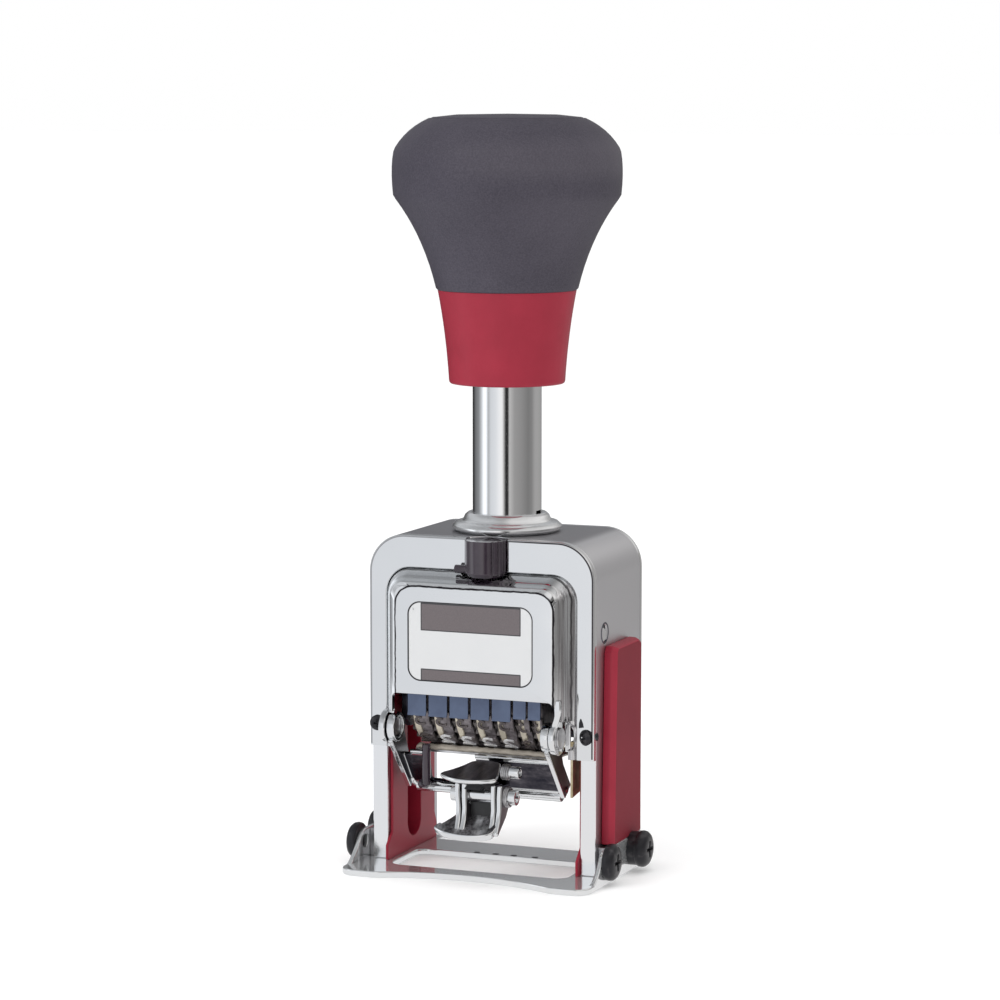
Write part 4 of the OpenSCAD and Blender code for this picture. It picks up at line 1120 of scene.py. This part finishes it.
def on_sheet(x, up, out):
    """A point of the inker's slanting sheet, from the cross bar up and outward from its middle, in mm."""
    run, rise = SHEET_TOP[0] - BAR_AXIS[0], SHEET_TOP[1] - BAR_AXIS[1]
    long = math.hypot(run, rise)
    return x, BAR_AXIS[0] + (run * up - rise * out) / long, BAR_AXIS[1] + (rise * up + run * out) / long


def sheet_block(name, low_edge, high_edge, half_t):
    """A slab on the slanting sheet between two level edges, each a height up the sheet and two X."""
    (low, x0, x1), (high, x2, x3) = low_edge, high_edge
    corners = [(x0, low), (x1, low), (x3, high), (x2, high)]
    return solid(name, [[on_sheet(x, up, out) for x, up in corners] for out in (half_t, -half_t)])


def inker_frame():
    """The inker's arms and bar, with the window in its slanting sheet, and the lip that holds the felt."""
    window = rounded(sheet_block("window", (2.4, -15.1, -2.4), (11.5, -13.7, -1.8), 3.0), 0.7, 3, 60)
    widths = ((-24.0, -19.4), (17.2, 24.0))
    corners = [sheet_block("corner", (-4.0, *width), (1.4, *width), 5.0) for width in widths]
    piece = cut_by(whole_faces("inker_bail", "inker_frame"), window, *corners)
    in_place_of(rounded(piece, 0.2, 3, 32), "inker_bail", "inker_chrome")
    lip = rounded(sheet_block("lip", (10.4, -18.6, 17.2), (12.0, -18.4, 17.0), 0.45), 0.3, 3, 40)
    cut_by(lip, sheet_block("window", (9.0, -13.7, -1.9), (14.0, -13.7, -1.9), 3.0))
    beside(lip, "felt_lip", "inker_bail", "mirror_chrome")


def elbows(bend_steps=16, sides=32, radius=1.05):
    """The round bends where the inker's arms turn into its cross bar, and the sleeves on the bar."""
    for side, x_arm, x_bar, x_sleeve in (("left", -20.55, -17.6, -3.6), ("right", 18.2, 15.3, 7.6)):
        reach = x_arm - x_bar
        rings = []
        for k in range(bend_steps + 1):
            a = math.pi / 2 * k / bend_steps
            out_x, out_up = math.copysign(math.sin(a), reach), -math.cos(a)
            middle_x, middle_up = x_bar + reach * math.sin(a), abs(reach) * (1 - math.cos(a))
            ring = []
            for n in range(sides):
                b = 2 * math.pi * n / sides
                step = radius * math.cos(b)
                x, up = middle_x + out_x * step, middle_up + out_up * step
                ring.append(on_sheet(x, up, radius * math.sin(b)))
            rings.append(ring)
        elbow = rounded(solid("elbow", rings), 0.2, 3, 50)
        beside(elbow, f"inker_elbow_{side}", "inker_bail", "cheek_chrome")
        sleeve = rod(min(x_bar, x_sleeve), max(x_bar, x_sleeve), *BAR_AXIS, 1.3)
        beside(rounded(sleeve, 0.3, 3, 40), f"inker_sleeve_{side}", "inker_bail", "mirror_chrome")


def catch_rod():
    """The black catch, an upright pin with a short foot toward the left arm and a stem to the tray."""
    upright = bar((-13.6, -16.6, 20.2), (-13.6, -16.6, 30.0), 1.0, 40)
    foot = bar((-15.6, -16.2, 20.4), (-13.2, -16.4, 20.4), 0.9, 32)
    stem = bar((-15.0, -16.4, 20.4), (-15.0, -9.0, 18.9), 0.8, 32)
    upright.name = "catch_rod"
    in_place_of(rounded(joined_with(upright, foot, stem), 0.3, 3, 50), "pad_catch", "knob_lacquer")


def smoothed(points, times=3):
    """Cuts the corners of a closed outline, so that it runs in curves."""
    for _ in range(times):
        cut = []
        for a, b in zip(points, points[1:] + points[:1]):
            cut += [(a[0] * p + b[0] * (1 - p), a[1] * p + b[1] * (1 - p)) for p in (0.75, 0.25)]
        points = cut
    return points


def tab_plate(name, outline, place, tilt, thick, edge=0.45):
    """A finger tab of an outline seen from above, about a middle behind it, tilted forward and down."""
    cos, sin = math.cos(math.radians(tilt)), math.sin(math.radians(tilt))
    x0, y0, z0 = place
    line = smoothed(outline)
    rings = [
        [(x0 + x, y0 + y * cos - z * sin, z0 + y * sin + z * cos) for x, y in line]
        for z in (0.0, thick)
    ]
    return rounded(solid(name, rings), edge, 4, 50)


def finger_tabs():
    """The fixed upper tab, and the lower tab with its raised rim."""
    upper = [
        (-3.4, 0.4), (3.2, 0.4), (4.4, -2.6), (5.5, -6.2), (6.2, -9.2), (6.2, -10.6), (4.6, -11.5),
        (1.5, -12.4), (-1.8, -12.5), (-4.6, -11.8), (-7.0, -10.5), (-8.4, -9.0), (-6.4, -6.6), (-4.6, -3.4),
    ]
    in_place_of(tab_plate("upper_tab", upper, (1.75, -16.4, 26.0), 10.5, 1.1), "finger_tab", "tab_chrome")
    lower = [
        (-4.2, 0.6), (6.4, 0.6), (6.8, -3.2), (6.9, -5.4), (6.4, -7.0), (4.2, -7.9), (1.2, -8.4),
        (-2.0, -8.3), (-5.2, -7.7), (-7.6, -6.6), (-8.4, -5.6), (-6.6, -3.4), (-5.0, -1.2),
    ]
    x, tilt = 1.75, 30.5
    tab = tab_plate("lower_tab", lower, (x, -23.2, 15.1), tilt, 1.1)
    rim = tab_plate("rim", [(a, b * 0.98 - 0.1) for a, b in lower], (x, -23.4, 14.9), tilt, 1.9, 0.5)
    inner = [(a * 0.88, b * 0.86 + 0.3) for a, b in lower]
    cut_by(rim, tab_plate("hollow", inner, (x, -23.0, 15.6), tilt, 3.0, 0.1))
    in_place_of(rounded(joined_with(tab, rim), 0.12, 2, 50), "finger_lever", "low_tab_chrome")


def lever_parts():
    """Two pairs of bowed strips on the lever's pin, the black parts between, and the stop beside them."""
    side = [
        (-25.5, 23.3), (-20.8, 22.9), (-20.8, 18.3), (-23.0, 15.7), (-28.6, 11.9), (-28.9, 12.9),
        (-27.2, 15.3), (-26.3, 17.6), (-26.1, 20.4),
    ]
    top, tall = 23.3, 11.4
    strips = ((-2.8, -1.5, 1.2), (-1.05, -0.25, 1.25), (6.15, 6.8, 1.2), (7.75, 8.05, 1.25))
    for number, (top_x, low_x, width) in enumerate(strips, 1):
        line = [(top_x + (low_x - top_x) * (top - z) / tall, y, z) for y, z in side]
        web = solid("web", [[(x + step, y, z) for x, y, z in line] for step in (0.0, width)])
        cut_by(web, rod(-10, 20, *LEVER_PIN, 1.95))
        beside(rounded(web, 0.38, 4, 40), f"lever_strip_{number}", "finger_lever", "cheek_chrome")
    heel = along_x("heel", 0.6, 5.95, [(-23.9, 19.1), (-22.6, 19.1), (-22.2, 15.6), (-24.2, 15.2)])
    beside(rounded(heel, 0.25, 3, 40), "lever_heel", "lever_bracket", "black_plastic", "lever")
    fork = cut_by(whole_faces("lever_bracket", "lever_fork"), block(-10, 10, -30, -22.9, 18.4, 22.0))
    in_place_of(rounded(fork, 0.2, 3, 32), "lever_bracket", "black_plastic")
    tube = cut_by(rod(9.0, 12.2, *STOP_AXIS, 1.4), rod(10.5, 14, *STOP_AXIS, 0.85))
    beside(rounded(tube, 0.15, 3, 40), "stop_tube", "lever_pin", "mirror_chrome")
    sizes = {"Radius": 1.6, "Wire": 0.24, "Height": 1.6, "Turns": 3.5}
    end = coil("stop_coil", (8.0, *STOP_AXIS), (0, 90, 0), **sizes)
    beside(end, "stop_coil", "lever_pin", "spring_steel")


# ---------- the machine ----------

front_plate()
cover_shell()
felt_cushion()
felt_tray()
inker_frame()
elbows()
catch_rod()
finger_tabs()
lever_parts()
side_liner()
side_bush()
notch_shade()
spring_end()
side_panel()
scale_marks()
foot_screws()
cover_screws()
lever_spring()
return_spring()
for number, (start, width) in enumerate(zip(WHEEL_STARTS, WHEEL_WIDTHS), 1):
    number_wheel(number, start, width)

# How far the edges of the other nodes are rounded, in mm
EDGES = {
    "frame_body": 0.25, "label_plate": 0.08, "back_plate": 0.35, "back_panel": 0.1, "base_plate": 0.3,
    "side_cover_right": 0.3, "guide_rail_left": 0.2, "guide_rail_right": 0.2, "plunger_tube": 0.08,
    "leaf_springs": 0.06,
}
USUAL_EDGE = 0.12
OWN_FINISH = {
    # The wheel block and its back get dark steel: painted shade for the inside of the machine, darker than
    # their own steel.
    "block_frame": "dark_steel", "block_back": "dark_steel", "wheel_shaft": "dark_steel",
    "lock_knob": "knob_lacquer", "collar_nut": "collar_chrome", "base_plate": "base_chrome",
}
for node in sorted(set(nodes) - dressed_nodes):
    skin = rounded(whole_faces(node, node + "_skin"), EDGES.get(node, USUAL_EDGE))
    in_place_of(skin, node, OWN_FINISH.get(node))


# ---------- studio ----------


def reflection_screen(radius=0.34, height=0.2, steps=144):
    """A round room that only reflections see: windows on the left, a dark line in front, greys elsewhere."""
    tones = (
        (-180, 0.3), (-158, 0.27), (-140, 0.04), (-122, 0.05), (-108, 0.18), (-86, 0.3), (-74, 0.62),
        (-62, 1.25), (-52, 1.25), (-44, 0.5), (-34, 0.76), (-16, 0.85), (-2, 1.0), (6, 0.96), (12, 0.4),
        (17, 0.03), (25, 0.03), (29, 0.58), (36, 0.48), (46, 0.36), (70, 0.3), (96, 0.22), (112, 0.26),
        (128, 0.4), (146, 0.4), (166, 0.36),
    )
    brightest = 1.3
    g = Finish("reflection_screen")
    angle = g.x.angle_to(0 - g.y)
    around = g.ramp(angle / (2 * math.pi) + 0.5, *(((a + 180) / 360, tone / brightest) for a, tone in tones))
    away = (g.x * g.x + g.y * g.y) ** 0.5
    low_tone = g.mix(g.soft_step(away, radius * 0.55, radius * 0.98), 0.82, around * brightest)
    high_tone = g.mix(g.soft_step(g.z, height + 0.06, height + 0.26), 0.5, 0.3)
    high_tone = high_tone + g.soft_step(g.x, 0.02, 0.2) * 0.32
    level = g.mix(g.soft_step(g.z, height * 0.6, height + 0.05), low_tone, high_tone)
    tint = g.blend(g.soft_step(g.x, -0.15, 0.1), (0.97, 0.99, 1.03), (1.02, 0.995, 0.985))
    glow = g.add("ShaderNodeVectorMath", {"operation": "SCALE"}, {0: tint, "Scale": level})[0]
    lit = {"Emission Color": glow, "Emission Strength": 1.0, "Specular IOR Level": 0.0}
    g.done((0, 0, 0), 1.0, **lit)

    profile = [(radius * t / 10, 0.0002) for t in range(1, 11)]
    profile += [(radius, height * t / 4) for t in range(1, 5)]
    for t in range(1, 8):
        a = t / 8 * math.pi / 2
        profile.append((radius * math.cos(a), height + radius * math.sin(a)))
    round_z = [(math.sin(2 * math.pi * k / steps), -math.cos(2 * math.pi * k / steps)) for k in range(steps)]
    rings = [[(x * r / MM, y * r / MM, z / MM) for x, y in round_z] for r, z in profile]
    screen = solid("reflection_screen", rings)
    screen.data.materials.append(g.material)
    screen.visible_camera = False
    screen.visible_diffuse = False
    screen.visible_shadow = False
    screen.visible_transmission = False


def studio():
    scene = bpy.context.scene
    scene.view_settings.view_transform = "Standard"
    scene.view_settings.look = "None"

    world = bpy.data.worlds.new("studio")
    world.use_nodes = True
    sky = Tree(world.node_tree)
    sky.tree.nodes.clear()
    glow = sky.add("ShaderNodeBackground", values={"Color": (1.0, 1.0, 1.0, 1), "Strength": 1.0})
    sky.add("ShaderNodeOutputWorld", values={"Surface": glow[0]})
    scene.world = world

    floor_mesh = bpy.data.meshes.new("floor")
    s = 12.0
    floor_mesh.from_pydata([(-s, -s, 0), (s, -s, 0), (s, s, 0), (-s, s, 0)], [], [(0, 1, 2, 3)])
    floor_mesh.materials.append(floor_paper())
    as_object("floor", floor_mesh)

    for name, place, aim, size, power in (
        ("key", (-0.45, -0.7, 0.75), (0, 0, 0.07), 0.5, 2.2),
        ("top", (0.0, 0.1, 0.95), (0, 0, 0.08), 0.6, 1.2),
    ):
        light = bpy.data.lights.new(name, "AREA")
        light.size = size
        light.energy = power
        lamp = bpy.data.objects.new(name, light)
        scene.collection.objects.link(lamp)
        lamp.location = place
        lamp.rotation_euler = (Vector(aim) - Vector(place)).to_track_quat("-Z", "Y").to_euler()

    reflection_screen()

    eye = bpy.data.cameras.new("camera")
    eye.lens = 126.1
    eye.sensor_width = 36.0
    camera = bpy.data.objects.new("camera", eye)
    scene.collection.objects.link(camera)
    camera.location = (0.3050, -0.7561, 0.1824)
    aim = Vector((-0.00155, -0.00063, 0.08608)) - camera.location
    camera.rotation_euler = aim.to_track_quat("-Z", "Y").to_euler()
    scene.camera = camera


studio()
